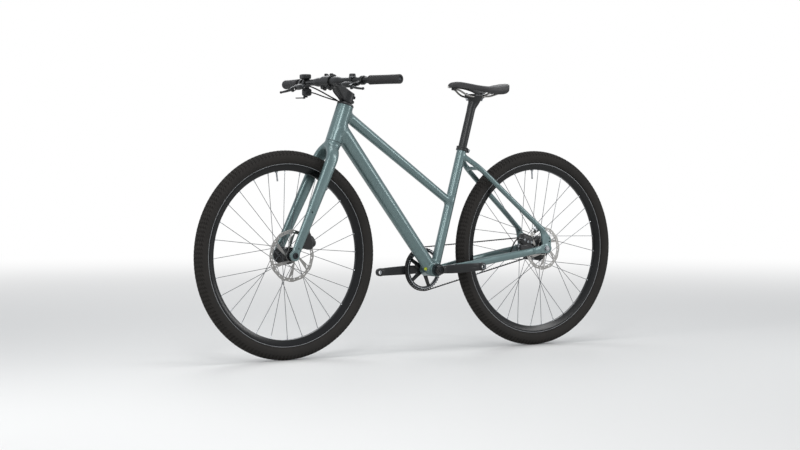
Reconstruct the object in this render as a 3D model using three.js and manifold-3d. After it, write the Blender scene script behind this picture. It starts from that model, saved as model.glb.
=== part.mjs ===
// A step-through city bike with a belt drive, a hub gear and disc brakes.
// Millimetres. +X is forward, +Y is the rider's left, +Z is up, and the tyres stand on z = 0.
import * as THREE from 'three';
import { mergeVertices } from 'three/addons/utils/BufferGeometryUtils.js';
import Module from 'manifold-3d';

const wasm = await Module();
wasm.setup();

// Driving dimensions of the bike as a whole. A tyre's offset is how far the bottom bracket lies outside it,
// along the chainstay for the rear tyre and level for the front one.
const beadSeatRadius = 311;
const tyreWidth = 50;
const tyreRadius = beadSeatRadius + tyreWidth;
const headAngle = 69;
const forkRake = 45;
const forkCrownOffset = 73;
const forkLength = tyreRadius + forkCrownOffset;
const headTubeLength = 136;
const seatAngle = 74;
const seatTubeLength = 459;
const seatTubeSetback = 14.8;
const bottomBracketDrop = 66.5;
const rearTyreOffset = 120;
const frontTyreOffset = 259.6;
const chainstayLength = tyreRadius + rearTyreOffset;
const chainstayRun = Math.sqrt(chainstayLength ** 2 - bottomBracketDrop ** 2);
const wheelbase = chainstayRun + frontTyreOffset + tyreRadius;
const downTubeJoinHeight = 57;
const topTubeJoinHeight = 111;
const topTubeSeatHeight = 251;

// Clearances: between pieces that touch, and the overrun of every cut
const gap = 0.3;
const overrun = 4;

// Sides of round pieces, as counts
const wheelSegments = 34;
const discSegments = 24;
const tubeSides = 16;
const barSides = 16;
const smallSides = 8;
const hoseSides = 6;
const tubeSectionSides = 6;
const staySides = 12;
const forkEyeSides = 14;

// Frame tubes
const headTubeDiameter = 59;
const headTubeBore = 46;
const downTubeHeadDiameter = 59;
const downTubeFootDiameter = 48;
const downTubeWall = 2.5;
const topTubeHeadDiameter = 38;
const topTubeSeatDiameter = 29;
const topTubeWall = 2;
const seatTubeDiameter = 34.9;
const seatPostDiameter = 30.9;
const shellDiameter = 49;
const shellBore = 42;
const shellWidth = 73;
const seatTubeStart = 14;
const cupWall = 2;

// Rear triangle
const rearHubWidth = 135;
const dropoutThickness = 8;
const dropoutReach = 24;
const dropoutDepth = 18;
const dropoutHorn = 30;
const chainstayHeight = 27;
const chainstayWidth = 17;
const chainstayShellOffset = 24;
const chainstayEndOffset = 66;
const chainstayDip = 7.5;
const seatstayDiameter = 19;
const seatstayTopOffset = 11;
const seatstayTopHeight = 430;
const seatstayEndRise = 56;
const bridgeDiameter = 14;
const bridgeShare = 0.17;

// Seat clamp
const clampHeight = 15;
const clampWall = 3.5;
const clampLugLength = 9;
const clampLugWidth = 15;
const clampSlit = 1.2;
const clampBoltDiameter = 7;
const clampBoltLength = 20;

// Headset
const steererDiameter = 28.6;
const steererBore = 22;
const bearingHeight = 8;
const bearingRecess = 1;
const headsetGap = 1;
const coverHeight = 11;
const coverTopLength = 50;
const coverTopWidth = 40;

// Fork
const crownDepth = 50;
const crownHeight = 32;
const crownDrop = 20;
const legTopDepth = 44;
const legTopWidth = 25;
const legEndDepth = 33;
const legEndWidth = 15;
const legTopOffset = 46;
const legMidOffset = 48.5;
const legEndOffset = 57;
const legBackset = 8;
const frontHubWidth = 100;
const forkDropoutRadius = 18;
const forkDropoutThickness = 12;
const frontAxleDiameter = 15;
const frontAxleHead = 20;
const frontAxleHeadLength = 5;

// Stem and handlebar
const stemReach = 96;
const stemRise = 52;
const stemWidth = 34;
const stemClampHeight = 37;
const stemWall = 5;
const stemCapThickness = 3;
const barClampDiameter = 31.8;
const barClampLength = 124;
const barDiameter = 22.2;
const barHalfWidth = 352;
const barBend = 105;
const barSweep = 12;
const barClampWidth = 48;
const faceplateSplit = 0.8;
const gripInset = 34.5;
const gripDiameter = 32.5;
const gripEndWall = 5;
const gripEndRecess = 3;
const gripEndHole = 17;

// Brake levers, in a frame that leans down in front of the bar
const leverLean = 27;
const leverClampPlace = 84;
const leverClampWidth = 12;
const controlClampWall = 4.5;
const masterOffset = 33;
const masterDiameter = 20;
const masterStart = 14;
const masterEnd = 76;
const pivotReach = 50;
const pivotPlace = 72;
const pivotBoss = 11;
const pivotPin = 4.2;
const earThickness = 2.5;
const bladeReach = 69;
const bladeEnd = 146;
const bladeHeight = 10;
const bladeThickness = 7;

// Gear shifter, under the right side of the bar
const shifterClampPlace = 46;
const shifterClampWidth = 10;
const shifterWidth = 36;
const shifterDepth = 28;
const shifterHeight = 27;
const shifterDrop = 19;
const thumbPivotInset = 10;
const thumbLength = 36;
const thumbThickness = 4;
const thumbWidth = 13;
const thumbPinDiameter = 5;
const displayHeight = 19;
const displayLength = 38;
const displayWidth = 34;
const displayForward = 8;
const displayInset = 6;

// Hoses and cable, and their routes from the controls to the headset cover, by hand
const hoseStepShare = 6;
const hoseDiameter = 5;
const cableDiameter = 4.5;
const brakeHoseRoute = [
  [116, 96, 168.5], [109, 62, 163], [85, 37, 156], [57, 23, 150], [36, 14, 146.5], [16, 9, 142.5]];
const gearCableRoute = [
  [85, -100, 155], [84, -72, 150], [70, -42, 144.5], [48, -13, 141.5], [33, -1, 141.5], [16, 0, 141.5]];

// Disc brakes
const frontRotorDiameter = 180;
const rearRotorDiameter = 160;
const rotorThickness = 1.8;
const rotorBand = 14;
const frontRotorOffset = 38;
const rearRotorOffset = 52;
const rotorArmCount = 6;
const rotorArmWidth = 9;
const rotorArmLean = 12;
const rotorHubBand = 9;
const caliperWidth = 44;
const caliperThickness = 25;
const caliperSlot = 3.8;
const frontCaliperReach = 62;
const frontCaliperLength = 42;
const frontCaliperAngle = 127;
const rearCaliperReach = 60;
const rearCaliperLength = 58;
const rearCaliperAngle = 21;

// The calipers' mounts from their axles, as shares of the rotor's radius
const frontMountShares = [[-0.722, 0.544], [-0.389, 0.4], [0.011, 0.467], [-0.056, 1.044], [-0.411, 1.067]];
const rearMountShares = [[0.606, 0.1375], [0.606, -0.1375], [1.356, -0.2875], [1.456, 0.2125]];

// The hoses' last stretch, by hand, from the axle and the bike's middle: the front one in the steering frame
const frontCaliperHose = [[-45, 42, 72], [-37, 45, 92], [-25, 50, 110], [-9, 54, 134]];
const rearCaliperHose = [
  [102.5, 56, 37], [120.5, 57, 39], [138.5, 56, 23], [150.5, 53, -6], [156.5, 52, -26]];

// Crankset and belt
const crankLength = 170;
const crankTurn = 3;
const crankBossRadius = 21;
const crankEyeRadius = 14;
const crankInnerOffset = 45;
const crankBossWidth = 17;
const crankEyeOffset = 82;
const crankArmHeight = 32;
const crankArmThickness = 14;
const spindleDiameter = 24;
const pedalBore = 14.3;
const spiderArmCount = 5;
const spiderArmWidth = 13;
const spiderThickness = 6;
const beltToothSpacing = 11;
const frontTeeth = 45;
const rearTeeth = 22;
const beltWidth = 10;
const beltThickness = 4;
const beltLine = 47;
const beltRingBand = 13;
const beltFrontSteps = 21;
const beltRearSteps = 13;
const sprocketBore = 36;

// Wheels
const rimLipHeight = 5;
const rimDepth = 20;
const rimEdgeRadius = beadSeatRadius + rimLipHeight;
const rimBedRadius = beadSeatRadius - rimDepth;
const rimWidth = 26;
const rimBedWidth = 16;
const rimFlangeWidth = 2.4;
const tyreWall = 4;
const tubeSectionShare = 0.57;
const tubeClearance = 3;
const valveDiameter = 6;
const valveLength = 34;
const frontValveAngle = 7.4;
const rearValveAngle = 2;
const tubeSteps = 24;
const beadWidth = 4.5;
const spokeDiameter = 2;
const spokeSides = 3;
const spokeRimOffset = 2.5;
const spokeHeadSpread = 1.8;
const spokeRingWidth = 7;
const spokeRingHeight = 3;
const frontSpokesPerSide = 14;
const rearSpokesPerSide = 16;
const spokeCross = 3;
const frontFlangeRadius = 29;
const frontFlangeLeft = 22;
const frontFlangeRight = 33;
const frontHubRadius = 14;
const hubFlangeWidth = 3;
const flangeTaper = 5;
const rearFlangeRadius = 46;
const rearFlangeLeft = 27;
const rearFlangeRight = 27;
const rearHubRadius = 37;
const rearAxleDiameter = 10;
const axleNutDiameter = 19;
const axleNutLength = 9;

// Seatpost and saddle
const postTopHeight = 172;
const postInsert = 120;
const railSpacing = 44;
const railRiseHeight = 19;
const railDiameter = 7;
const cradleOffset = 7;
const cradleLength = 54;
const cradleWidth = 58;
const cradleHeight = 12;
const saddleClampLength = 38;
const saddleClampHeight = 8;
const saddleBoltSpacing = 68;
const saddleBoltDiameter = 6;
const saddleNoseReach = 118;
const saddleLength = 262;
const saddleWidth = 146;
const saddleStackHeight = 52;
const saddleSkirtHeight = 32;
const saddleDipDepth = 13;
const padInsideWidthShare = 0.88;
const padInsideHeightShare = 0.45;
const railSocketWidth = 12;
const shellThickness = 3;

// Plug over the cable port in the down tube
const plugDiameter = 12;
const plugHeight = 5;
const plugPlace = 22;
const plugTurn = 66;

// Materials
const paint = new THREE.MeshStandardMaterial({ color: 0x5d8582, roughness: 0.3, metalness: 0.55 });
const blackMetal = new THREE.MeshStandardMaterial({ color: 0x17181a, roughness: 0.35, metalness: 0.7 });
const silver = new THREE.MeshStandardMaterial({ color: 0xb9bcbf, roughness: 0.25, metalness: 1 });
const steel = new THREE.MeshStandardMaterial({ color: 0x8b8f93, roughness: 0.3, metalness: 1 });
const rubber = new THREE.MeshStandardMaterial({ color: 0x1c1c1e, roughness: 0.8, metalness: 0 });
const tyreRubber = new THREE.MeshStandardMaterial({ color: 0x202022, roughness: 0.85, metalness: 0 });
const plastic = new THREE.MeshStandardMaterial({ color: 0x1a1b1d, roughness: 0.5, metalness: 0 });
const saddleCover = new THREE.MeshStandardMaterial({ color: 0x222225, roughness: 0.6, metalness: 0 });
const limePlastic = new THREE.MeshStandardMaterial({ color: 0xaab52e, roughness: 0.5, metalness: 0 });

// General helpers
const radians = THREE.MathUtils.degToRad;
const lerp = THREE.MathUtils.lerp;
const vec = (x, y, z) => new THREE.Vector3(x, y, z);
const forward = vec(1, 0, 0);
const leftward = vec(0, 1, 0);
const upward = vec(0, 0, 1);

// A closed three.js geometry as a solid, turned right side out
function solidOf(geometry) {
  const plain = new THREE.BufferGeometry();
  plain.setAttribute('position', geometry.getAttribute('position').clone());
  if (geometry.index) plain.setIndex(geometry.index.clone());
  const merged = mergeVertices(plain);
  const triangles = [];
  const index = merged.index.array;
  for (let i = 0; i < index.length; i += 3) {
    const [a, b, c] = [index[i], index[i + 1], index[i + 2]];
    if (a !== b && b !== c && c !== a) triangles.push(a, b, c);
  }
  if (signedVolume(merged.getAttribute('position'), triangles) < 0) triangles.reverse();
  return new wasm.Manifold(new wasm.Mesh({
    numProp: 3,
    vertProperties: new Float32Array(merged.getAttribute('position').array),
    triVerts: new Uint32Array(triangles),
  }));
}

function signedVolume(position, triangles) {
  const [a, b, c] = [vec(), vec(), vec()];
  let volume = 0;
  for (let i = 0; i < triangles.length; i += 3) {
    a.fromBufferAttribute(position, triangles[i]);
    b.fromBufferAttribute(position, triangles[i + 1]);
    c.fromBufferAttribute(position, triangles[i + 2]);
    volume += a.dot(b.cross(c));
  }
  return volume;
}

function geometryOf(solid) {
  const mesh = solid.getMesh();
  const geometry = new THREE.BufferGeometry();
  geometry.setAttribute('position', new THREE.BufferAttribute(new Float32Array(mesh.vertProperties), 3));
  geometry.setIndex(new THREE.BufferAttribute(new Uint32Array(mesh.triVerts), 1));
  geometry.computeVertexNormals();
  return geometry;
}

// One oval ring of points around a centre; squareness 2 is an ellipse, and more is squarer
function oval(centre, acrossA, acrossB, halfA, halfB, sides = tubeSides, squareness = 2) {
  const ring = [];
  for (let i = 0; i < sides; i++) {
    const angle = (2 * Math.PI * i) / sides;
    const [c, s] = [Math.cos(angle), Math.sin(angle)];
    const a = Math.sign(c) * Math.abs(c) ** (2 / squareness) * halfA;
    const b = Math.sign(s) * Math.abs(s) ** (2 / squareness) * halfB;
    ring.push(centre.clone().addScaledVector(acrossA, a).addScaledVector(acrossB, b));
  }
  return ring;
}

// A solid through rings of equal count, with flat ends, or closed on itself
function loft(rings, closed = false) {
  const count = rings[0].length;
  const points = rings.flat();
  const index = [];
  const spans = closed ? rings.length : rings.length - 1;
  for (let r = 0; r < spans; r++) {
    for (let i = 0; i < count; i++) {
      const j = (i + 1) % count;
      const [low, high] = [r * count, ((r + 1) % rings.length) * count];
      index.push(low + i, low + j, high + j, low + i, high + j, high + i);
    }
  }
  if (!closed) {
    for (const [start, flip] of [[0, true], [(rings.length - 1) * count, false]]) {
      const middle = points.length;
      const ring = points.slice(start, start + count);
      points.push(ring.reduce((sum, p) => sum.add(p), vec(0, 0, 0)).divideScalar(count));
      for (let i = 0; i < count; i++) {
        const [p, q] = [start + i, start + ((i + 1) % count)];
        if (flip) index.push(middle, q, p);
        else index.push(middle, p, q);
      }
    }
  }
  const geometry = new THREE.BufferGeometry();
  geometry.setAttribute('position', new THREE.Float32BufferAttribute(points.flatMap((p) => p.toArray()), 3));
  geometry.setIndex(index);
  return solidOf(geometry);
}

// Ovals along a path: the first half size lies along side, the second across it
function sweep(path, halves, side, { sides = tubeSides, squareness = 2, closed = false } = {}) {
  const last = path.length - 1;
  const rings = path.map((point, i) => {
    const before = closed ? path[(i + last) % path.length] : path[Math.max(i - 1, 0)];
    const after = closed ? path[(i + 1) % path.length] : path[Math.min(i + 1, last)];
    const along = after.clone().sub(before).normalize();
    const acrossA = side.clone().addScaledVector(along, -side.dot(along)).normalize();
    const acrossB = along.clone().cross(acrossA);
    const [halfA, halfB] = Array.isArray(halves[0]) ? halves[i] : halves;
    return oval(point, acrossA, acrossB, halfA, halfB, sides, squareness);
  });
  return loft(rings, closed);
}

// A round bar between two points, which may taper
function rod(from, to, radius, endRadius = radius, sides = tubeSides) {
  const along = to.clone().sub(from).normalize();
  const side = Math.abs(along.dot(leftward)) < 0.9 ? leftward : forward;
  return sweep([from, to], [[radius, radius], [endRadius, endRadius]], side, { sides });
}

// A rod along Y, between two places on that axis
function pin(x, z, y0, y1, radius, sides = tubeSides) {
  return rod(vec(x, y0, z), vec(x, y1, z), radius, radius, sides);
}

// A profile of [radius, place along the axis] turned round Y, or round another axis
function turned(profile, segments = tubeSides, origin = vec(0, 0, 0), axis = leftward) {
  const geometry = new THREE.LatheGeometry(profile.map(([r, y]) => new THREE.Vector2(r, y)), segments);
  geometry.applyQuaternion(new THREE.Quaternion().setFromUnitVectors(leftward, axis));
  geometry.translate(origin.x, origin.y, origin.z);
  return solidOf(geometry);
}

// A pipe along any axis: outer and inner radius, and its two ends
function pipe(outer, inner, start, end, segments = tubeSides, origin = vec(0, 0, 0), axis = leftward) {
  const profile = [[inner, start], [outer, start], [outer, end], [inner, end], [inner, start]];
  return turned(profile, segments, origin, axis);
}

// An outline in X and Z, thick along Y
function slab(outline, y0, y1) {
  const shape = new THREE.Shape(outline.map(([x, z]) => new THREE.Vector2(x, z)));
  const geometry = new THREE.ExtrudeGeometry(shape, { depth: y1 - y0, bevelEnabled: false });
  geometry.rotateX(Math.PI / 2);
  geometry.translate(0, y1, 0);
  return solidOf(geometry);
}

function block(x0, x1, y0, y1, z0, z1) {
  return slab([[x0, z0], [x1, z0], [x1, z1], [x0, z1]], y0, y1);
}

function union(...solids) {
  return solids.reduce((sum, solid) => sum.add(solid));
}

function cut(solid, ...tools) {
  return tools.reduce((rest, tool) => rest.subtract(tool), solid);
}

// A copy of a solid in another frame, given by a three.js matrix
function moved(solid, matrix) {
  const geometry = geometryOf(solid);
  geometry.deleteAttribute('normal');
  geometry.applyMatrix4(matrix);
  return solidOf(geometry);
}

const mirrorMatrix = new THREE.Matrix4().makeScale(1, -1, 1);
const mirrored = (solid) => moved(solid, mirrorMatrix);

function part(parent, name, solid, material) {
  const mesh = new THREE.Mesh(geometryOf(solid), material);
  mesh.name = name;
  parent.add(mesh);
  return mesh;
}

// The groups: the whole bike, its steering, cockpit, crankset and wheels
const group = new THREE.Group();

const frontAxle = vec(wheelbase / 2, 0, tyreRadius);
const rearAxle = vec(-wheelbase / 2, 0, tyreRadius);
const steerUp = vec(-Math.cos(radians(headAngle)), 0, Math.sin(radians(headAngle)));
const steerForward = vec(steerUp.z, 0, -steerUp.x);
const crown = frontAxle.clone().addScaledVector(steerForward, -forkRake).addScaledVector(steerUp, forkLength);
const headBottom = crown.clone().addScaledVector(steerUp, headsetGap);
const headTop = headBottom.clone().addScaledVector(steerUp, headTubeLength);

const bottomBracket = vec(rearAxle.x + chainstayRun, 0, tyreRadius - bottomBracketDrop);
const seatUp = vec(-Math.cos(radians(seatAngle)), 0, Math.sin(radians(seatAngle)));
const seatBase = bottomBracket.clone().addScaledVector(forward, -seatTubeSetback);
const seatPoint = (height) => seatBase.clone().addScaledVector(seatUp, height);

const steering = new THREE.Group();
steering.position.copy(crown);
steering.rotation.y = -radians(90 - headAngle);
group.add(steering);

const cockpit = new THREE.Group();
cockpit.position.set(stemReach, 0, headsetGap + headTubeLength + stemRise);
cockpit.rotation.y = radians(90 - headAngle);
steering.add(cockpit);

const cranks = new THREE.Group();
cranks.position.copy(bottomBracket);
cranks.rotation.y = radians(crankTurn);
group.add(cranks);

const frontWheel = new THREE.Group();
frontWheel.position.set(forkRake, 0, -forkLength);
frontWheel.rotation.y = radians(90 - headAngle);
steering.add(frontWheel);

const rearWheel = new THREE.Group();
rearWheel.position.copy(rearAxle);
group.add(rearWheel);

// Frame: each tube is a function of how much larger a copy is wanted, so neighbours are cut by the same shape
const headTubeSolid = (grow = 0) => rod(
  headBottom.clone().addScaledVector(steerUp, -overrun),
  headTop.clone().addScaledVector(steerUp, overrun), headTubeDiameter / 2 + grow);

const downTubeTop = headBottom.clone().addScaledVector(steerUp, downTubeJoinHeight);
const downTubeSolid = (grow = 0, sides = tubeSides) => rod(
  downTubeTop, bottomBracket, downTubeHeadDiameter / 2 + grow, downTubeFootDiameter / 2 + grow, sides);

const topTubeTop = headBottom.clone().addScaledVector(steerUp, topTubeJoinHeight);
const topTubeSolid = (grow = 0, sides = tubeSides) => rod(topTubeTop, seatPoint(topTubeSeatHeight),
  topTubeHeadDiameter / 2 + grow, topTubeSeatDiameter / 2 + grow, sides);

const seatTubeSolid = (grow = 0) => rod(
  seatPoint(seatTubeStart), seatPoint(seatTubeLength), seatTubeDiameter / 2 + grow);

const shellSolid = (grow = 0) => pin(
  bottomBracket.x, bottomBracket.z, -shellWidth / 2 - grow, shellWidth / 2 + grow, shellDiameter / 2 + grow);

function addMainTubes() {
  const headBore = rod(headBottom.clone().addScaledVector(steerUp, -overrun),
    headTop.clone().addScaledVector(steerUp, overrun), headTubeBore / 2);
  part(group, 'head_tube', cut(rod(headBottom, headTop, headTubeDiameter / 2), headBore), paint);

  const downBore = downTubeSolid(-downTubeWall, smallSides);
  part(group, 'down_tube', cut(downTubeSolid(), downBore, headTubeSolid(gap), shellSolid(gap)), paint);

  const topBore = topTubeSolid(-topTubeWall, smallSides);
  part(group, 'top_tube',
    cut(topTubeSolid(), topBore, headTubeSolid(gap), seatTubeSolid(gap), downTubeSolid(gap)), paint);

  const seatBore = rod(seatBase.clone().addScaledVector(seatUp, -overrun),
    seatPoint(seatTubeLength + overrun), seatPostDiameter / 2 + gap);
  part(group, 'seat_tube', cut(seatTubeSolid(), seatBore, shellSolid(gap), downTubeSolid(gap)), paint);

  const shellHole = pin(bottomBracket.x, bottomBracket.z, -shellWidth, shellWidth, shellBore / 2);
  part(group, 'bottom_bracket_shell', cut(shellSolid(), shellHole), paint);
}

// Rear triangle, drawn for the left side; the right side is its mirror image.
// Shares run along the stay, and each has its place off the middle and, for a chainstay, its size.
const chainstayShares = [
  [0.03, 0, 0.92], [0.14, 0.09, 0.95], [0.24, 0.26, 1], [0.32, 0.46, 1],
  [0.55, 0.64, 1.02], [0.8, 0.93, 0.98], [0.94, 1, 0.92]];
const stayStart = bottomBracket.clone().addScaledVector(upward, -chainstayDip);
const chainstayPath = chainstayShares.map(([share, spread]) =>
  stayStart.clone().lerp(rearAxle, share).setY(lerp(chainstayShellOffset, chainstayEndOffset, spread)));
const chainstayTube = (grow = 0) => sweep(chainstayPath, chainstayShares.map(([, , size]) =>
  [chainstayHeight * size / 2 + grow, chainstayWidth * size / 2 + grow]), upward,
{ sides: staySides, squareness: 2.3 });

const dropoutInner = rearHubWidth / 2 + gap;
const dropoutMiddle = dropoutInner + dropoutThickness / 2;
const seatstayShares = [
  [0.03, 0], [0.09, 0.22], [0.16, 0.43], [0.25, 0.53], [0.45, 0.64], [0.75, 0.81], [0.965, 1]];
const seatstayStart = seatPoint(seatstayTopHeight);
const seatstayEnd = rearAxle.clone().addScaledVector(upward, seatstayEndRise);
const seatstayPath = seatstayShares.map(([share, spread]) =>
  seatstayStart.clone().lerp(seatstayEnd, share).setY(lerp(seatstayTopOffset, dropoutMiddle, spread)));
const seatstayTube = (grow = 0) => sweep(seatstayPath,
  [seatstayDiameter / 2 + grow, seatstayDiameter / 2 + grow], upward, { sides: staySides });

// The dropout plate: round behind the axle, with a horn up into the seatstay and one into the chainstay
function dropoutPlate(grow = 0) {
  const outline = [];
  const steps = 9;
  for (let step = 0; step <= steps; step++) {
    const angle = radians(lerp(150, 285, step / steps));
    outline.push([rearAxle.x + (dropoutReach + grow) * Math.cos(angle),
      rearAxle.z + (dropoutDepth + grow) * Math.sin(angle)]);
  }
  const foot = stayStart.clone().lerp(rearAxle, 0.88).addScaledVector(forward, grow);
  const footHalf = chainstayHeight / 3 + grow;
  outline.push([foot.x, foot.z - footHalf], [foot.x, foot.z + footHalf]);
  outline.push([rearAxle.x + dropoutReach * 0.7, rearAxle.z + dropoutDepth * 0.75 + grow]);
  const rise = seatstayStart.clone().sub(seatstayEnd).normalize();
  const tip = seatstayEnd.clone().addScaledVector(rise, dropoutHorn + grow);
  const hornHalf = seatstayDiameter * 0.4 + grow;
  outline.push([tip.x + rise.z * hornHalf, tip.z - rise.x * hornHalf]);
  outline.push([tip.x - rise.z * hornHalf, tip.z + rise.x * hornHalf]);
  outline.push([rearAxle.x - dropoutReach * 0.9 - grow, seatstayEnd.z - seatstayEndRise / 3]);
  return slab(outline, dropoutInner - grow, dropoutInner + dropoutThickness + grow);
}

function addRearTriangle() {
  const axleHole = pin(rearAxle.x, rearAxle.z, 0, rearHubWidth, rearAxleDiameter / 2 + gap, smallSides);
  const stay = union(chainstayTube(), dropoutPlate());
  const chainstay = cut(stay, axleHole, shellSolid(gap), seatTubeSolid(gap));
  part(group, 'chainstay_left', chainstay, paint);
  part(group, 'chainstay_right', mirrored(chainstay), paint);

  const seatstay = cut(seatstayTube(), seatTubeSolid(gap), dropoutPlate(gap));
  part(group, 'seatstay_left', seatstay, paint);
  part(group, 'seatstay_right', mirrored(seatstay), paint);

  const middle = seatstayStart.clone().lerp(seatstayEnd, bridgeShare);
  const reach = lerp(seatstayTopOffset, dropoutMiddle, 0.43);
  const stays = seatstayTube(gap);
  const bridge = pin(middle.x, middle.z, -reach, reach, bridgeDiameter / 2, smallSides);
  part(group, 'stay_bridge', cut(bridge, stays, mirrored(stays)), paint);
}

// Everything on the seat tube's axis, in a frame whose Z runs up that axis
const mast = new THREE.Group();
mast.position.copy(seatBase);
mast.rotation.y = -radians(90 - seatAngle);
group.add(mast);

function addSeatClamp() {
  const inner = seatTubeDiameter / 2 + gap;
  const outer = inner + clampWall;
  const top = seatTubeLength;
  const bottom = top - clampHeight;
  const ring = pipe(outer, inner, bottom, top, tubeSides, vec(0, 0, 0), upward);
  const lug = block(-outer - clampLugLength, -inner - clampWall / 2,
    -clampLugWidth / 2, clampLugWidth / 2, bottom, top);
  const slit = block(-outer - clampLugLength - overrun, -inner + overrun, -clampSlit / 2, clampSlit / 2,
    bottom - overrun, top + overrun);
  const bolt = pin(-outer - clampLugLength / 2, (bottom + top) / 2, -clampBoltLength / 2, clampBoltLength / 2,
    clampBoltDiameter / 2, smallSides);
  part(mast, 'seat_clamp', union(cut(union(ring, lug), slit), bolt), blackMetal);
}

// The steering pieces inside and on top of the head tube, in the steering frame
const headFloor = headsetGap;
const headCeiling = headsetGap + headTubeLength;
const stemFloor = headCeiling + gap + coverHeight + gap;
const stemCeiling = stemFloor + stemClampHeight;
const steererTop = stemCeiling - stemCapThickness - gap;

function coverSolid(grow = 0) {
  const floor = headCeiling + gap - grow;
  const flat = [headTubeDiameter / 2 + grow, headTubeDiameter / 2 + grow];
  const rings = [[0, flat], [0.35, flat], [1, [coverTopLength / 2 + grow, coverTopWidth / 2 + grow]]];
  return loft(rings.map(([share, [a, b]]) =>
    oval(vec(0, 0, floor + share * (coverHeight + 2 * grow)), forward, leftward, a, b, tubeSides, 2.2)));
}

function addHeadset() {
  const outer = headTubeBore / 2 - gap;
  const inner = steererDiameter / 2 + gap;
  const low = pipe(outer, inner, headFloor + bearingRecess, headFloor + bearingRecess + bearingHeight,
    tubeSides, vec(0, 0, 0), upward);
  const high = pipe(outer, inner, headCeiling - bearingRecess - bearingHeight, headCeiling - bearingRecess,
    tubeSides, vec(0, 0, 0), upward);
  part(steering, 'lower_headset_bearing', low, steel);
  part(steering, 'upper_headset_bearing', high, steel);
  const hole = rod(vec(0, 0, 0), vec(0, 0, stemCeiling), inner);
  part(steering, 'headset_cover', cut(coverSolid(), hole), blackMetal);
}

// Fork: the leg's path in the steering frame, from the middle of the crown to the dropout
const legDropShares = [0, 0.03, 0.09, 0.19, 0.36, 0.68, 0.93, 1.03];
const legPath = legDropShares.map((share, i) => {
  const offsets = [0, legTopOffset * 0.5, legTopOffset * 0.87, legTopOffset, legMidOffset,
    lerp(legMidOffset, legEndOffset, 0.62), legEndOffset, legEndOffset];
  const drop = crownDrop + share * (forkLength - crownDrop);
  return vec(lerp(legBackset, forkRake, Math.min(share * 1.02, 1)), offsets[i], -drop);
});
const legSizes = legDropShares.map((share, i) => {
  const widths = [crownHeight, crownHeight * 0.95, legTopWidth * 1.12, legTopWidth, legTopWidth,
    lerp(legTopWidth, legEndWidth, 0.45), legEndWidth, legEndWidth * 0.65];
  const depths = [crownDepth, crownDepth * 0.97, legTopDepth * 1.03, legTopDepth, legTopDepth * 0.95,
    lerp(legTopDepth, legEndDepth, 0.7), legEndDepth, legEndDepth * 0.85];
  return [depths[i] / 2, widths[i] / 2];
});
const bladesPath = [...legPath.slice(1).reverse(), ...legPath.map(({ x, y, z }) => vec(x, -y, z))];
const bladesSizes = [...legSizes.slice(1).reverse(), ...legSizes];
const bladesSolid = (grow = 0) => sweep(bladesPath, bladesSizes.map(([a, b]) => [a + grow, b + grow]),
  forward, { sides: staySides, squareness: 2.4 });

function addFork() {
  const inner = frontHubWidth / 2 + gap;
  const end = inner + forkDropoutThickness;
  const eye = pin(forkRake, -forkLength, inner, end, forkDropoutRadius, forkEyeSides);
  const blades = union(bladesSolid(), eye, mirrored(eye));
  const hubRoom = block(forkRake - forkDropoutRadius * 2, forkRake + forkDropoutRadius * 2, -inner, inner,
    -forkLength - forkDropoutRadius * 2, -forkLength + forkDropoutRadius * 2);
  const crownPlug = rod(vec(0, 0, -crownDrop), vec(0, 0, 0), crownDepth / 2 * 0.97, headTubeDiameter / 2);
  const steerer = rod(vec(0, 0, -crownDrop), vec(0, 0, steererTop), steererDiameter / 2);
  const bore = rod(vec(0, 0, -crownDrop - crownHeight), vec(0, 0, stemCeiling), steererBore / 2);
  const axleHole = pin(forkRake, -forkLength, -end - overrun, end + overrun, frontAxleDiameter / 2 + gap,
    smallSides);
  const headSeat = pin(forkRake, -forkLength, end, end + frontAxleHeadLength + overrun,
    frontAxleHead / 2 + gap, smallSides);
  part(steering, 'fork', cut(union(blades, crownPlug, steerer), hubRoom, bore, axleHole, headSeat), paint);

  const shaft = pin(forkRake, -forkLength, -end, end + gap, frontAxleDiameter / 2, smallSides);
  const head = pin(forkRake, -forkLength, end + gap, end + gap + frontAxleHeadLength, frontAxleHead / 2,
    smallSides);
  part(steering, 'front_axle', union(shaft, head), blackMetal);
}

// Stem: a wedge from the steerer clamp up to the bar clamp, whose front half is the faceplate
const barPlace = [stemReach, headCeiling + stemRise];

function addStem() {
  const clampRadius = barClampDiameter / 2 + gap + stemWall;
  const steererRadius = steererDiameter / 2 + gap + stemWall;
  const [barX, barZ] = barPlace;
  const side = slab([[-steererRadius * 0.7, stemFloor], [steererRadius, stemFloor],
    [barX - clampRadius * 1.4, barZ - clampRadius * 0.4], [barX, barZ - clampRadius * 0.4],
    [barX, barZ + clampRadius * 0.9], [barX - clampRadius * 0.4, barZ + clampRadius * 0.9],
    [-steererRadius * 0.7, stemCeiling - gap]], -stemWidth / 2, stemWidth / 2);
  const steererClamp = rod(vec(0, 0, stemFloor), vec(0, 0, stemCeiling), steererRadius);
  const barClamp = pin(barX, barZ, -barClampWidth / 2, barClampWidth / 2, clampRadius);
  const barHole = pin(barX, barZ, -barClampWidth, barClampWidth, barClampDiameter / 2 + gap);
  const steererHole = rod(vec(0, 0, 0), vec(0, 0, stemCeiling - stemCapThickness), steererDiameter / 2 + gap);
  const reach = clampRadius + overrun;
  const split = faceplateSplit / 2;
  const front = block(barX - split, barX + reach, -barClampWidth, barClampWidth, barZ - reach, barZ + reach);
  const rear = block(barX - reach, barX + split, -barClampWidth, barClampWidth, barZ - reach, barZ + reach);
  part(steering, 'stem', cut(union(side, steererClamp, barClamp), front, barHole, steererHole), blackMetal);
  part(steering, 'stem_faceplate', cut(barClamp, rear, barHole), blackMetal);
}

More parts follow.
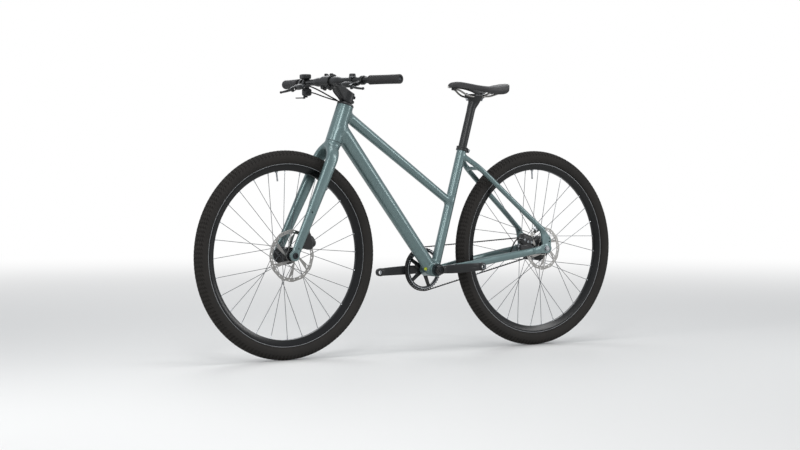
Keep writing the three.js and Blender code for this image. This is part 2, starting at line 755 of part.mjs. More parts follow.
// Handlebar, in the cockpit frame at the middle of the bar
const sweepBack = radians(barSweep);
const outboard = vec(-Math.sin(sweepBack), Math.cos(sweepBack), 0);
const barRun = (barHalfWidth - barBend) / Math.cos(sweepBack);
const bend = vec(0, barBend, 0);
const alongBar = (distance) => bend.clone().addScaledVector(outboard, distance);

function addHandlebar() {
  const middle = barClampDiameter / 2;
  const end = barDiameter / 2;
  const half = [[alongBar(barRun), end], [alongBar(barDiameter / 2), end],
    [vec(0, barBend - barDiameter / 2, 0), end], [vec(0, barClampLength / 2, 0), middle]];
  const other = half.map(([point, radius]) => [point.clone().setY(-point.y), radius]).reverse();
  const rings = [...half, ...other];
  const bar = sweep(rings.map(([p]) => p), rings.map(([, r]) => [r, r]), forward, { sides: barSides });
  part(cockpit, 'handlebar', bar, blackMetal);
}

function addGrips() {
  const start = leverClampPlace + gripInset;
  const inner = barDiameter / 2 + gap;
  const outer = gripDiameter / 2;
  const end = barRun + gap;
  const profile = [[0, end], [inner, end], [inner, start], [outer * 0.95, start],
    [outer, end - gripEndWall], [outer * 0.92, end + gripEndWall], [gripEndHole / 2, end + gripEndWall],
    [gripEndHole / 2, end + gripEndWall - gripEndRecess], [0, end + gripEndWall - gripEndRecess]];
  const grip = turned(profile, barSides, bend, outboard);
  part(cockpit, 'grip_left', grip, rubber);
  part(cockpit, 'grip_right', mirrored(grip), rubber);
}

// A frame on the bar for the left controls: Y runs outboard along the bar, and X leans down by an angle
function controlMatrix(lean) {
  const place = new THREE.Matrix4().makeTranslation(0, barBend, 0);
  place.multiply(new THREE.Matrix4().makeRotationZ(sweepBack));
  return place.multiply(new THREE.Matrix4().makeRotationY(radians(lean)));
}

function addBrakeLevers() {
  const matrix = controlMatrix(leverLean);
  const clamp = pipe(barDiameter / 2 + gap + controlClampWall, barDiameter / 2 + gap,
    leverClampPlace - leverClampWidth / 2, leverClampPlace + leverClampWidth / 2, barSides);
  const barHole = pin(0, 0, 0, barHalfWidth, barDiameter / 2 + gap, barSides);
  const radius = masterDiameter / 2;
  const bodyPath = [vec(masterOffset * 0.85, masterStart - overrun, 0),
    vec(masterOffset * 0.92, masterStart + radius, 0),
    vec(masterOffset, (masterStart + masterEnd) / 2, 0), vec(masterOffset, masterEnd, 0)];
  const bodySizes = [0.55, 0.9, 1, 0.88].map((share) => [radius * share, radius * share]);
  const body = sweep(bodyPath, bodySizes, forward, { sides: staySides });
  const halfClamp = leverClampWidth / 2;
  const arm = block(barDiameter / 2, masterOffset, masterEnd - leverClampWidth, leverClampPlace + halfClamp,
    -halfClamp, halfClamp);
  const earFloor = bladeHeight / 2 + gap;
  const earReach = pivotReach + pivotBoss / 2;
  const ears = [earFloor, -earFloor - earThickness].map((z) => block(masterOffset, earReach,
    pivotPlace - pivotBoss / 2, pivotPlace + pivotBoss / 2, z, z + earThickness));
  const pivot = (low, high, r) =>
    rod(vec(pivotReach, pivotPlace, low), vec(pivotReach, pivotPlace, high), r, r, smallSides);
  const bladeRoom = pivot(-earFloor, earFloor, pivotBoss / 2 + 2 * gap);
  const hinge = pivot(-earFloor - earThickness, earFloor + earThickness, pivotPin / 2);
  const hoseFace = block(0, masterOffset * 2, 0, masterStart, -masterOffset, masterOffset);
  const lever = union(clamp, cut(union(body, arm, ...ears), barHole, bladeRoom, hoseFace), hinge);
  part(cockpit, 'brake_body_left', moved(lever, matrix), blackMetal);
  part(cockpit, 'brake_body_right', mirrored(moved(lever, matrix)), blackMetal);

  const bladeShares = [[0, 0], [0.18, 0.2], [0.42, 0.55], [0.7, 0.85], [1, 1]];
  const path = bladeShares.map(([along, out]) =>
    vec(lerp(pivotReach, bladeReach, out), lerp(pivotPlace, bladeEnd, along), 0));
  const halves = [1, 1, 0.9, 0.8, 0.7].map((share) => [bladeThickness * share / 2, bladeHeight * share / 2]);
  const boss = pivot(-bladeHeight / 2, bladeHeight / 2, pivotBoss / 2);
  const blade = cut(union(sweep(path, halves, forward, { sides: smallSides }), boss),
    pivot(-bladeHeight, bladeHeight, pivotPin / 2 + gap));
  part(cockpit, 'brake_lever_left', moved(blade, matrix), blackMetal);
  part(cockpit, 'brake_lever_right', mirrored(moved(blade, matrix)), blackMetal);
}

// Shifter: a pod under the right side of the bar, with a thumb lever below and a release lever in front
const podFloor = -shifterDrop - shifterHeight;
const podStart = shifterClampPlace - shifterWidth / 2;
const thumbPivot = [0, shifterClampPlace + shifterWidth / 2 - thumbPivotInset];
const releasePivot = [shifterDepth / 2 - thumbPinDiameter, shifterClampPlace + thumbPivotInset / 2];

function leverPaddle([x, y], [tipX, tipY], floor) {
  const top = floor - gap;
  const low = top - thumbThickness;
  const boss = rod(vec(x, y, low), vec(x, y, top), thumbPinDiameter, thumbPinDiameter, smallSides);
  const along = vec(tipX - x, tipY - y, 0).normalize();
  const across = vec(-along.y, along.x, 0);
  const middle = (low + top) / 2;
  const rings = [[0, thumbPinDiameter], [0.6, thumbWidth * 0.4], [0.9, thumbWidth * 0.5],
    [1, thumbWidth * 0.3]];
  const paddle = loft(rings.map(([share, half]) => oval(
    vec(lerp(x, tipX, share), lerp(y, tipY, share), middle),
    across, upward, half, thumbThickness / 2, smallSides, 3)));
  const hole = rod(vec(x, y, low - overrun), vec(x, y, top + overrun), thumbPinDiameter / 2 + gap,
    thumbPinDiameter / 2 + gap, smallSides);
  return cut(union(boss, paddle), hole);
}

function addShifter() {
  const matrix = mirrorMatrix.clone().multiply(controlMatrix(0));
  const clamp = pipe(barDiameter / 2 + gap + controlClampWall, barDiameter / 2 + gap,
    shifterClampPlace - shifterClampWidth / 2, shifterClampPlace + shifterClampWidth / 2, barSides);
  const neckHalf = shifterClampWidth / 2;
  const neck = block(-neckHalf, neckHalf, shifterClampPlace - neckHalf, shifterClampPlace + neckHalf,
    -shifterDrop - overrun, -barDiameter / 2 - gap - controlClampWall / 2);
  const halfDepth = shifterDepth / 2;
  const podShares = [[0, 0.7], [0.12, 0.95], [0.88, 1], [1, 0.8]];
  const pod = loft(podShares.map(([share, size]) => oval(
    vec(0, podStart + share * shifterWidth, podFloor + shifterHeight / 2),
    forward, upward, halfDepth * size, shifterHeight / 2 * size, staySides, 4)));
  const releaseDrop = podFloor - 2 * gap - thumbThickness;
  const post = ([x, y], end) => rod(vec(x, y, podFloor + overrun), vec(x, y, end), thumbPinDiameter / 2,
    thumbPinDiameter / 2, smallSides);
  const displayFloor = barDiameter / 2 + gap + controlClampWall / 2;
  const displayShares = [[0, 0.9], [0.7, 1], [1, 0.86]];
  const display = loft(displayShares.map(([share, size]) => oval(
    vec(displayForward, shifterClampPlace - displayInset, displayFloor + share * displayHeight),
    forward, leftward, (displayLength / 2) * size, (displayWidth / 2) * size, staySides, 4)));
  const body = union(clamp, neck, pod, display, post(thumbPivot, podFloor - gap - thumbThickness),
    post(releasePivot, releaseDrop - gap - thumbThickness));
  part(cockpit, 'shifter_body', moved(body, matrix), plastic);

  const thumb = leverPaddle(thumbPivot, [-shifterDepth / 2, thumbPivot[1] + thumbLength], podFloor);
  part(cockpit, 'thumb_lever', moved(thumb, matrix), plastic);
  const release = leverPaddle(releasePivot, [shifterDepth, releasePivot[1] + thumbLength * 0.8], releaseDrop);
  part(cockpit, 'release_lever', moved(release, matrix), plastic);
}

// A smooth round tube through points
function smoothTube(points, radius) {
  const curve = new THREE.CatmullRomCurve3(points, false, 'centripetal');
  const steps = Math.round(curve.getLength() / (radius * hoseStepShare));
  return sweep(curve.getSpacedPoints(steps), [radius, radius], upward, { sides: hoseSides });
}

// Hoses and the gear cable run from their controls to the headset cover, in the steering frame
function controlToSteering(lean, side) {
  const { x, y, z } = cockpit.position;
  const place = new THREE.Matrix4().makeTranslation(x, y, z);
  place.multiply(new THREE.Matrix4().makeRotationY(cockpit.rotation.y));
  if (side < 0) place.multiply(mirrorMatrix);
  return place.multiply(controlMatrix(lean));
}

function hoseFrom([x, y, z], lean, side, route, diameter) {
  const matrix = controlToSteering(lean, side);
  const start = vec(x, y + overrun, z).applyMatrix4(matrix);
  const lead = vec(x, y - overrun, z).applyMatrix4(matrix);
  const tube = smoothTube([start, lead, ...route.map((point) => vec(...point))], diameter / 2);
  const keep = block(-barHalfWidth, barHalfWidth, y - gap, barHalfWidth, -barHalfWidth, barHalfWidth);
  return cut(tube, moved(keep, matrix), coverSolid(gap));
}

function addHoses() {
  const [x, y] = [masterOffset * 0.87, masterStart];
  for (const [name, side] of [['left_brake_hose', 1], ['right_brake_hose', -1]]) {
    const route = brakeHoseRoute.map(([u, v, w]) => [u, v * side, w]);
    part(steering, name, hoseFrom([x, y, 0], leverLean, side, route, hoseDiameter), rubber);
  }
  const cable = hoseFrom([0, podStart, podFloor + shifterHeight / 2], 0, -1, gearCableRoute, cableDiameter);
  part(steering, 'gear_cable', cable, rubber);
}

// A disc caliper in a frame at its axle: X runs outward along the caliper, Z round the rotor
function caliperSolid(reach, length, offset, rotorRadius) {
  const shares = [[0, 0.75], [0.12, 1], [0.8, 1], [1, 0.7]];
  const body = loft(shares.map(([share, size]) => oval(vec(reach + share * length, offset, 0), upward,
    leftward, (caliperWidth / 2) * size, (caliperThickness / 2) * lerp(1, size, 0.5), staySides, 4)));
  const half = caliperSlot / 2;
  const slot = pipe(rotorRadius + half, reach / 2, offset - half, offset + half, discSegments);
  return cut(body, slot);
}

function aboutAxle(axle, angle) {
  const place = new THREE.Matrix4().makeTranslation(axle.x, axle.y, axle.z);
  return place.multiply(new THREE.Matrix4().makeRotationY(-radians(angle)));
}

const routeTube = (axle, route) =>
  smoothTube(route.map((point) => vec(...point).add(axle)), hoseDiameter / 2);
const aroundAxle = (axle, shares, radius) =>
  shares.map(([x, z]) => [axle.x + x * radius, axle.z + z * radius]);

function addCalipers() {
  const [frontPlace, frontRadius] = [frontWheel.position, frontRotorDiameter / 2];
  const front = moved(caliperSolid(frontCaliperReach, frontCaliperLength, frontRotorOffset, frontRadius),
    aboutAxle(frontPlace, frontCaliperAngle));
  const mount = slab(aroundAxle(frontPlace, frontMountShares, frontRadius), frontRotorOffset + caliperSlot,
    legEndOffset);
  part(steering, 'front_caliper',
    cut(union(front, mount, routeTube(frontPlace, frontCaliperHose)), bladesSolid(gap)), blackMetal);

  const rearRadius = rearRotorDiameter / 2;
  const rear = moved(caliperSolid(rearCaliperReach, rearCaliperLength, rearRotorOffset, rearRadius),
    aboutAxle(rearAxle, rearCaliperAngle));
  const foot = slab(aroundAxle(rearAxle, rearMountShares, rearRadius), rearRotorOffset + caliperSlot,
    chainstayEndOffset);
  part(group, 'rear_caliper',
    cut(union(rear, foot, routeTube(rearAxle, rearCaliperHose)), chainstayTube(gap), dropoutPlate(gap)),
    blackMetal);
}

// Crankset and belt. The arms are drawn pointing forward on the left.
const frontPitchRadius = (frontTeeth * beltToothSpacing) / (2 * Math.PI);
const rearPitchRadius = (rearTeeth * beltToothSpacing) / (2 * Math.PI);
const ringRadius = frontPitchRadius - beltThickness / 2 - gap;
const sprocketRadius = rearPitchRadius - beltThickness / 2 - gap;

function crankArm() {
  const outer = crankInnerOffset + crankBossWidth;
  const half = crankArmThickness / 2;
  const boss = pin(0, 0, crankInnerOffset, outer, crankBossRadius, barSides);
  const eye = pin(crankLength, 0, crankEyeOffset - half, crankEyeOffset + half, crankEyeRadius, barSides);
  const shares = [[0, 0, 0.95], [0.12, 0.02, 1], [0.35, 0.4, 1], [0.7, 0.85, 0.94], [1, 1, 0.84]];
  const middle = (crankInnerOffset + outer) / 2;
  const path = shares.map(([along, out]) => vec(along * crankLength, lerp(middle, crankEyeOffset, out), 0));
  const sizes = shares.map(([along, , size]) => [(crankArmHeight * size) / 2, half * lerp(1, 0.85, along)]);
  const arm = sweep(path, sizes, upward, { sides: staySides, squareness: 3 });
  return cut(union(boss, eye, arm), pin(crankLength, 0, 0, crankEyeOffset * 2, pedalBore / 2, smallSides));
}

function addCrankset() {
  const spindleHole = pin(0, 0, 0, crankEyeOffset, spindleDiameter / 2 + gap);
  const pointedBack = moved(crankArm(), new THREE.Matrix4().makeScale(-1, 1, 1));
  part(cranks, 'crank_arm_left', cut(pointedBack, spindleHole), blackMetal);

  const spiderInner = crankInnerOffset + gap;
  const reach = ringRadius - beltRingBand - gap;
  const spider = [];
  for (let i = 0; i < spiderArmCount; i++) {
    const turn = new THREE.Matrix4().makeRotationY((2 * Math.PI * i) / spiderArmCount);
    spider.push(moved(block(0, reach, spiderInner, spiderInner + spiderThickness,
      -spiderArmWidth / 2, spiderArmWidth / 2), turn));
  }
  const trim = pipe(crankLength, reach, 0, crankEyeOffset * 2, discSegments);
  const plate = cut(union(...spider), trim);
  const spindleEnd = crankInnerOffset + overrun;
  const spindle = pin(0, 0, -crankInnerOffset - crankBossWidth, spindleEnd, spindleDiameter / 2);
  part(cranks, 'crank_arm_right', mirrored(union(crankArm(), plate, spindle)), blackMetal);

  part(cranks, 'front_belt_ring', pipe(ringRadius, ringRadius - beltRingBand, -beltLine - beltWidth / 2,
    -beltLine + beltWidth / 2, wheelSegments), silver);
}

// The belt's loop at a distance outside the two rings, in X and Z
function beltOutline(outside) {
  const across = bottomBracket.clone().sub(rearAxle);
  const heading = Math.atan2(across.z, across.x);
  const radii = [ringRadius + gap + outside, sprocketRadius + gap + outside];
  const lean = Math.PI - Math.acos((radii[0] - radii[1]) / across.length());
  const outline = [];
  const ends = [[bottomBracket, radii[0], heading - lean, heading + lean, beltFrontSteps],
    [rearAxle, radii[1], heading + lean, heading + 2 * Math.PI - lean, beltRearSteps]];
  for (const [centre, radius, from, to, steps] of ends) {
    for (let step = 0; step <= steps; step++) {
      const angle = lerp(from, to, step / steps);
      outline.push([centre.x + radius * Math.cos(angle), centre.z + radius * Math.sin(angle)]);
    }
  }
  return outline;
}

function addBelt() {
  const [low, high] = [-beltLine - beltWidth / 2, -beltLine + beltWidth / 2];
  const inside = slab(beltOutline(0), low - overrun, high + overrun);
  part(group, 'belt', cut(slab(beltOutline(beltThickness), low, high), inside), rubber);
}

function addBottomBracket() {
  const inner = spindleDiameter / 2 + gap;
  const end = crankInnerOffset - gap;
  const face = shellWidth / 2 + gap;
  const [sleeve, cup] = [shellBore / 2 - gap, shellBore / 2 + cupWall];
  const profile = [[inner, -end], [cup, -end], [cup, -face], [sleeve, -face], [sleeve, face], [cup, face],
    [cup, end], [inner, end], [inner, -end]];
  part(group, 'bottom_bracket', turned(profile, tubeSides, bottomBracket), blackMetal);
}

// Wheels, each in a frame at its axle
const around = (angle, radius, y) => vec(radius * Math.cos(angle), y, radius * Math.sin(angle));

function spokeSide(side, flangeRadius, flangePlace, count, phase) {
  const ring = pipe(flangeRadius + gap + spokeRingHeight, flangeRadius + gap,
    side * flangePlace - spokeRingWidth / 2, side * flangePlace + spokeRingWidth / 2);
  const spokes = [ring];
  const bed = rimBedRadius * Math.cos(Math.PI / wheelSegments) - 2 * gap;
  const step = (2 * Math.PI) / count;
  for (let i = 0; i < count; i++) {
    const leading = i % 2 ? 1 : -1;
    const head = around(phase + i * step, flangeRadius + gap + spokeRingHeight / 2,
      side * flangePlace + leading * spokeHeadSpread);
    const foot = around(phase + (i + leading * spokeCross) * step, bed, side * spokeRimOffset);
    spokes.push(rod(head, foot, spokeDiameter / 2, spokeDiameter / 2, spokeSides));
  }
  return wasm.Manifold.union(spokes);
}

function rotorSolid(diameter, offset, bore) {
  const [low, high] = [offset - rotorThickness / 2, offset + rotorThickness / 2];
  const outer = diameter / 2;
  const pieces = [pipe(outer, outer - rotorBand, low, high, discSegments),
    pipe(bore + rotorHubBand, bore, low, high)];
  for (let i = 0; i < rotorArmCount; i++) {
    const start = bore + rotorHubBand / 2;
    const arm = slab([[start, -rotorArmWidth / 2], [outer - rotorBand / 2, rotorArmLean],
      [outer - rotorBand / 2, rotorArmLean + rotorArmWidth], [start, rotorArmWidth / 2]], low, high);
    pieces.push(moved(arm, new THREE.Matrix4().makeRotationY((2 * Math.PI * i) / rotorArmCount)));
  }
  return wasm.Manifold.union(pieces);
}

// The hub shell's profile, from the right end to the left: ends, flanges and barrel
function hubSolid(bore, endRadius, barrelRadius, flangeRadius, width, places) {
  const end = width / 2;
  const lip = hubFlangeWidth / 2;
  const profile = [[bore, -end], [endRadius, -end], [endRadius, -places[1] - flangeTaper]];
  for (const [place, sign] of [[-places[1], -1], [places[0], 1]]) {
    const shoulder = [barrelRadius, place - sign * flangeTaper];
    const rim = [[flangeRadius, place - lip], [flangeRadius, place + lip]];
    if (sign < 0) profile.push(...rim, shoulder);
    else profile.push(shoulder, ...rim);
  }
  profile.push([endRadius, places[0] + flangeTaper], [endRadius, end], [bore, end], [bore, -end]);
  return turned(profile, tubeSides);
}

function addWheel(frame, name, spokesPerSide, flangeRadius, places, valveAngle) {
  const step = (2 * Math.PI) / spokesPerSide;
  const valve = radians(90 - valveAngle);
  const left = spokeSide(1, flangeRadius, places[0], spokesPerSide, valve + step / 4);
  const right = spokeSide(-1, flangeRadius, places[1], spokesPerSide, valve - step / 4);
  part(frame, `${name}_spokes_left`, left, silver);
  part(frame, `${name}_spokes_right`, right, silver);

  const [edge, bed] = [rimWidth / 2, rimBedWidth / 2];
  const inner = edge - rimFlangeWidth;
  const half = [[rimBedRadius, bed], [rimEdgeRadius, edge], [rimEdgeRadius, inner],
    [beadSeatRadius, inner]];
  const profile = [...half, ...half.map(([r, y]) => [r, -y]).reverse(), half[0]];
  const valveHole = rod(vec(0, 0, 0), around(valve, tyreRadius, 0), valveDiameter / 2 + gap);
  part(frame, `${name}_rim`, cut(turned(profile, wheelSegments), valveHole), blackMetal);
  part(frame, `${name}_tyre`, turned(tyreProfile(), wheelSegments), tyreRubber);

  const section = (tyreWidth / 2 - tyreWall) * tubeSectionShare;
  const ringCentre = rimEdgeRadius + tubeClearance + section;
  const circle = [];
  for (let i = 0; i < tubeSteps; i++) circle.push(around((2 * Math.PI * i) / tubeSteps, ringCentre, 0));
  const torus = sweep(circle, [section, section], leftward, { sides: tubeSectionSides, closed: true });
  const stem = rod(around(valve, ringCentre, 0), around(valve, rimBedRadius - valveLength, 0),
    valveDiameter / 2, valveDiameter / 2, smallSides);
  part(frame, `${name}_inner_tube`, union(torus, stem), rubber);
}

// The tyre's section: outside over the tread, then the two beads and the inside
function tyreProfile() {
  const outer = tyreWidth / 2;
  const centre = tyreRadius - outer;
  const inner = outer - tyreWall;
  const onArc = (radius, degrees) =>
    [centre + radius * Math.cos(radians(degrees)), radius * Math.sin(radians(degrees))];
  const beadOut = rimWidth / 2 - rimFlangeWidth - gap;
  const bead = [[rimEdgeRadius + 2 * gap, beadOut], [beadSeatRadius + gap, beadOut],
    [beadSeatRadius + gap, beadOut - beadWidth]];
  const profile = [];
  for (const degrees of [-136, -92, -45, 0, 45, 92, 136]) profile.push(onArc(outer, degrees));
  profile.push(...bead);
  for (const degrees of [104, 0, -104]) profile.push(onArc(inner, degrees));
  profile.push(...bead.map(([r, y]) => [r, -y]).reverse(), profile[0]);
  return profile;
}

function addWheels() {
  const frontPlaces = [frontFlangeLeft, frontFlangeRight];
  addWheel(frontWheel, 'front', frontSpokesPerSide, frontFlangeRadius, frontPlaces, frontValveAngle);
  part(frontWheel, 'front_hub', hubSolid(frontAxleDiameter / 2 + gap, frontHubRadius, frontHubRadius,
    frontFlangeRadius, frontHubWidth, frontPlaces), blackMetal);
  part(frontWheel, 'front_rotor',
    rotorSolid(frontRotorDiameter, frontRotorOffset, frontHubRadius + gap), steel);

  const rearPlaces = [rearFlangeLeft, rearFlangeRight];
  const neck = sprocketBore / 2 - 2 * gap;
  addWheel(rearWheel, 'rear', rearSpokesPerSide, rearFlangeRadius, rearPlaces, rearValveAngle);
  part(rearWheel, 'rear_hub', hubSolid(rearAxleDiameter / 2 + gap, neck, rearHubRadius, rearFlangeRadius,
    rearHubWidth, rearPlaces), blackMetal);
  part(rearWheel, 'rear_rotor', rotorSolid(rearRotorDiameter, rearRotorOffset, neck + gap), steel);
  part(rearWheel, 'rear_sprocket', pipe(sprocketRadius, sprocketBore / 2, -beltLine - beltWidth / 2,
    -beltLine + beltWidth / 2), silver);

  const nut = dropoutInner + dropoutThickness + gap;
  const shaft = rearAxleDiameter / 2;
  const [head, end] = [axleNutDiameter / 2, nut + axleNutLength];
  const profile = [[0, -end], [head, -end], [head, -nut], [shaft, -nut], [shaft, nut], [head, nut],
    [head, end], [0, end]];
  part(group, 'rear_axle', turned(profile, smallSides, rearAxle), steel);
}

// Seatpost, saddle clamp and rails
const postTop = seatPoint(seatTubeLength + postTopHeight);
const railHeight = postTop.z + railRiseHeight;
const cradleCentre = postTop.x - cradleOffset;
const saddleNose = cradleCentre + saddleNoseReach;
const saddleTopHeight = railHeight + saddleStackHeight;

// Shares of the saddle's length from its nose, of half the rails' spacing, and of the height up to its top
const railShares = [
  [0.855, 1.545, 0.308], [0.763, 1.364, 0.192], [0.668, 1.091, 0.038], [0.592, 1, 0], [0.313, 1, 0],
  [0.237, 0.864, 0.154], [0.153, 0.545, 0.404], [0.1, 0.273, 0.481]];
const railPath = railShares.map(([along, aside, rise]) => vec(
  saddleNose - along * saddleLength, (aside * railSpacing) / 2, railHeight + rise * saddleStackHeight));
const fullRailPath = [...railPath, ...railPath.map(({ x, y, z }) => vec(x, -y, z)).reverse()];
const railSolid = (grow = 0) => sweep(fullRailPath,
  [railDiameter / 2 + grow, railDiameter / 2 + grow], upward, { sides: hoseSides });

function addSeatpost() {
  const top = railHeight - gap;
  const post = rod(seatPoint(seatTubeLength - postInsert), postTop, seatPostDiameter / 2);
  const [halfLength, halfWidth] = [cradleLength / 2, cradleWidth / 2];
  const postHalf = seatPostDiameter / 2;
  const shares = [[1.6, 0], [0.9, 0.55], [0.55, 1], [0, 1]];
  const neck = postHalf * 0.8;
  const cradle = loft(shares.map(([down, spread]) => oval(vec(cradleCentre, 0, top - down * cradleHeight),
    forward, leftward, lerp(neck, halfLength, spread), lerp(neck, halfWidth, spread), staySides, 4)));
  const boltPlaces = [cradleCentre + saddleBoltSpacing / 2, cradleCentre - saddleBoltSpacing / 2];
  const earReach = saddleBoltSpacing / 2 + saddleBoltDiameter;
  const ear = (z0, z1) => block(cradleCentre - earReach, cradleCentre + earReach, -saddleBoltDiameter * 1.4,
    saddleBoltDiameter * 1.4, z0, z1);
  const holes = boltPlaces.map((x) => rod(vec(x, 0, top - cradleHeight * 2), vec(x, 0, top + overrun),
    saddleBoltDiameter / 2 + gap, saddleBoltDiameter / 2 + gap, smallSides));
  const body = cut(union(post, cradle, ear(top - cradleHeight / 2, top)), ...holes, railSolid(gap));
  part(group, 'seatpost', body, blackMetal);

  const floor = railHeight + gap;
  const ceiling = floor + saddleClampHeight;
  const [shank, nut] = [saddleBoltDiameter / 2, saddleBoltDiameter * 0.8];
  const low = top - cradleHeight * 1.5;
  const bolts = boltPlaces.flatMap((x) => [
    rod(vec(x, 0, low), vec(x, 0, ceiling), shank, shank, smallSides),
    rod(vec(x, 0, low), vec(x, 0, top - cradleHeight / 2 - gap), nut, nut, smallSides)]);
  const plate = loft([[floor, 1], [ceiling, 0.9]].map(([z, size]) => oval(vec(cradleCentre, 0, z), forward,
    leftward, (saddleClampLength / 2) * size, halfWidth * size, staySides, 4)));
  const clamp = union(cut(union(plate, ear(floor, ceiling)), railSolid(gap)), ...bolts);
  part(group, 'saddle_clamp', clamp, blackMetal);
  part(group, 'saddle_rails', railSolid(), steel);
}

// Saddle: at each share of its length from the nose, its half width, its top's drop and its skirt, as shares
const saddleShares = [
  [0, 0.06, 1.08, 0.25], [0.03, 0.17, 0.4, 0.5], [0.1, 0.26, 0.04, 0.66], [0.2, 0.3, 0, 0.72],
  [0.35, 0.36, 0.35, 0.7], [0.5, 0.5, 0.77, 0.75], [0.65, 0.76, 1, 0.94], [0.78, 0.97, 0.85, 1],
  [0.88, 1, 0.54, 0.78], [0.95, 0.84, 0.46, 0.5], [1, 0.5, 0.8, 0.2]];

// The saddle's arched section with a straight floor. The ends can reach further, and the floor lower.
function saddleArches(stations, widthShare, heightShare,
  { grow = 0, floorDrop = 0, reach = 0, steps = 5 } = {}) {
  const last = stations.length - 1;
  return loft(stations.map(([share, width, drop, skirt], i) => {
    const over = reach * (Number(i === last) - Number(i === 0));
    const x = saddleNose - share * saddleLength - over;
    const base = saddleTopHeight - drop * saddleDipDepth - skirt * saddleSkirtHeight;
    const half = (width * widthShare * saddleWidth) / 2 + grow;
    const height = skirt * heightShare * saddleSkirtHeight + grow;
    const ring = [];
    for (let step = 0; step <= steps; step++) {
      const angle = lerp(-Math.PI / 2, Math.PI / 2, step / steps);
      const [s, c] = [Math.sin(angle), Math.max(Math.cos(angle), 0)];
      ring.push(vec(x, half * Math.sign(s) * Math.abs(s) ** 0.85, base + height * c ** 0.85));
    }
    ring.push(vec(x, half, base - gap - floorDrop), vec(x, -half, base - gap - floorDrop));
    return ring;
  }));
}

function addSaddle() {
  const [width, height] = [padInsideWidthShare, padInsideHeightShare];
  const hollow = saddleArches(saddleShares.slice(1, -1), width, height, { floorDrop: overrun });
  part(group, 'saddle_pad', cut(saddleArches(saddleShares, 1, 1, { steps: 10 }), hollow), saddleCover);

  const stations = saddleShares.slice(2, -2);
  const core = saddleArches(stations, width, height, { grow: -gap, floorDrop: saddleSkirtHeight });
  const roof = saddleArches(stations, width, height, { grow: -gap });
  const under = saddleArches(stations, width, height,
    { grow: -gap - shellThickness, floorDrop: overrun, reach: overrun });
  const rearEnd = railPath[0];
  const half = railSocketWidth / 2;
  const sockets = [1, -1].map((side) => block(rearEnd.x - half, rearEnd.x + railSocketWidth,
    side * rearEnd.y - half, side * rearEnd.y + half, rearEnd.z - half, saddleTopHeight));
  const nose = railPath[railPath.length - 1];
  const noseSocket = block(nose.x - half, nose.x + half, -railSocketWidth, railSocketWidth, nose.z - half,
    saddleTopHeight);
  const mounts = union(...sockets, noseSocket).intersect(core);
  part(group, 'saddle_shell', cut(union(cut(roof, under), mounts), railSolid(gap)), plastic);
}

function addPlug() {
  const along = downTubeTop.clone().sub(bottomBracket).normalize();
  const below = along.clone().cross(leftward).multiplyScalar(-1);
  const facing = leftward.clone().multiplyScalar(Math.cos(radians(plugTurn)))
    .addScaledVector(below, Math.sin(radians(plugTurn)));
  const foot = bottomBracket.clone().addScaledVector(along, plugPlace);
  const reach = downTubeFootDiameter / 2 + gap + plugHeight;
  const [root, tip] = [reach / 2, reach].map((out) => foot.clone().addScaledVector(facing, out));
  const plug = rod(root, tip, plugDiameter / 2, plugDiameter * 0.4);
  part(group, 'cable_port_plug', cut(plug, downTubeSolid(gap), shellSolid(gap)), limePlastic);
}

addMainTubes();
addRearTriangle();
addSeatClamp();
addHeadset();
addFork();
addStem();
addHandlebar();
addGrips();
addBrakeLevers();
addShifter();
addHoses();
addCalipers();
addCrankset();
addBelt();
addBottomBracket();
addWheels();
addSeatpost();
addSaddle();
addPlug();

export default group;
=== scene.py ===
# Finer shapes and finishes for a step-through city bike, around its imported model. Sizes here are
# millimetres, as in the part's source, and turn into metres where a piece is placed.
from itertools import product
import math

import bmesh
import bpy
import numpy as np
from mathutils import Matrix, Vector
from mathutils.geometry import tessellate_polygon


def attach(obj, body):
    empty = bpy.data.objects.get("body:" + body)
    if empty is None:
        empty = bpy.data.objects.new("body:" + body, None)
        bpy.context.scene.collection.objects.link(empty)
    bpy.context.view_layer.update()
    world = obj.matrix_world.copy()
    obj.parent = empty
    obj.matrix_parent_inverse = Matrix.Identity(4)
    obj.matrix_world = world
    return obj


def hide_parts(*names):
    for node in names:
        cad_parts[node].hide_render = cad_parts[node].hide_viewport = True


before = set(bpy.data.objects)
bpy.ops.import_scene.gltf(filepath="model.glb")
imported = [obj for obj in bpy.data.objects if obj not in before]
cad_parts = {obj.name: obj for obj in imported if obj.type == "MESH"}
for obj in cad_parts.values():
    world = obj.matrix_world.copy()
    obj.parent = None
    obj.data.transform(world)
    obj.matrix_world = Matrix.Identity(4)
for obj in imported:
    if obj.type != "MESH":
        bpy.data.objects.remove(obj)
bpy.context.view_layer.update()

MM = 0.001
GAP = 0.3
COARSE = 1.0
# A skin's grid: cells along a coarse block, and corners whose distance is found at once
BLOCK, AT_ONCE = 4, 400000


def vec(x, y, z):
    return np.array([x, y, z], float)


def unit(v):
    return v / np.linalg.norm(v)


def lerp(a, b, t):
    return a + (b - a) * t


def cosine(degrees):
    return math.cos(math.radians(degrees))


def sine(degrees):
    return math.sin(math.radians(degrees))


def turns(count):
    """Even angles once round."""
    return np.arange(count) * 2 * math.pi / count


def polar(radius, angle):
    return radius * math.cos(angle), radius * math.sin(angle)


X, Y, Z = vec(1, 0, 0), vec(0, 1, 0), vec(0, 0, 1)


# Matrices
def shift(x, y, z):
    matrix = np.eye(4)
    matrix[:3, 3] = x, y, z
    return matrix


def turn(axis, degrees):
    return np.array(Matrix.Rotation(math.radians(degrees), 4, axis))


def apply(matrix, points):
    return np.asarray(points, float) @ matrix[:3, :3].T + matrix[:3, 3]


MIRROR = np.diag([1.0, -1.0, 1.0, 1.0])

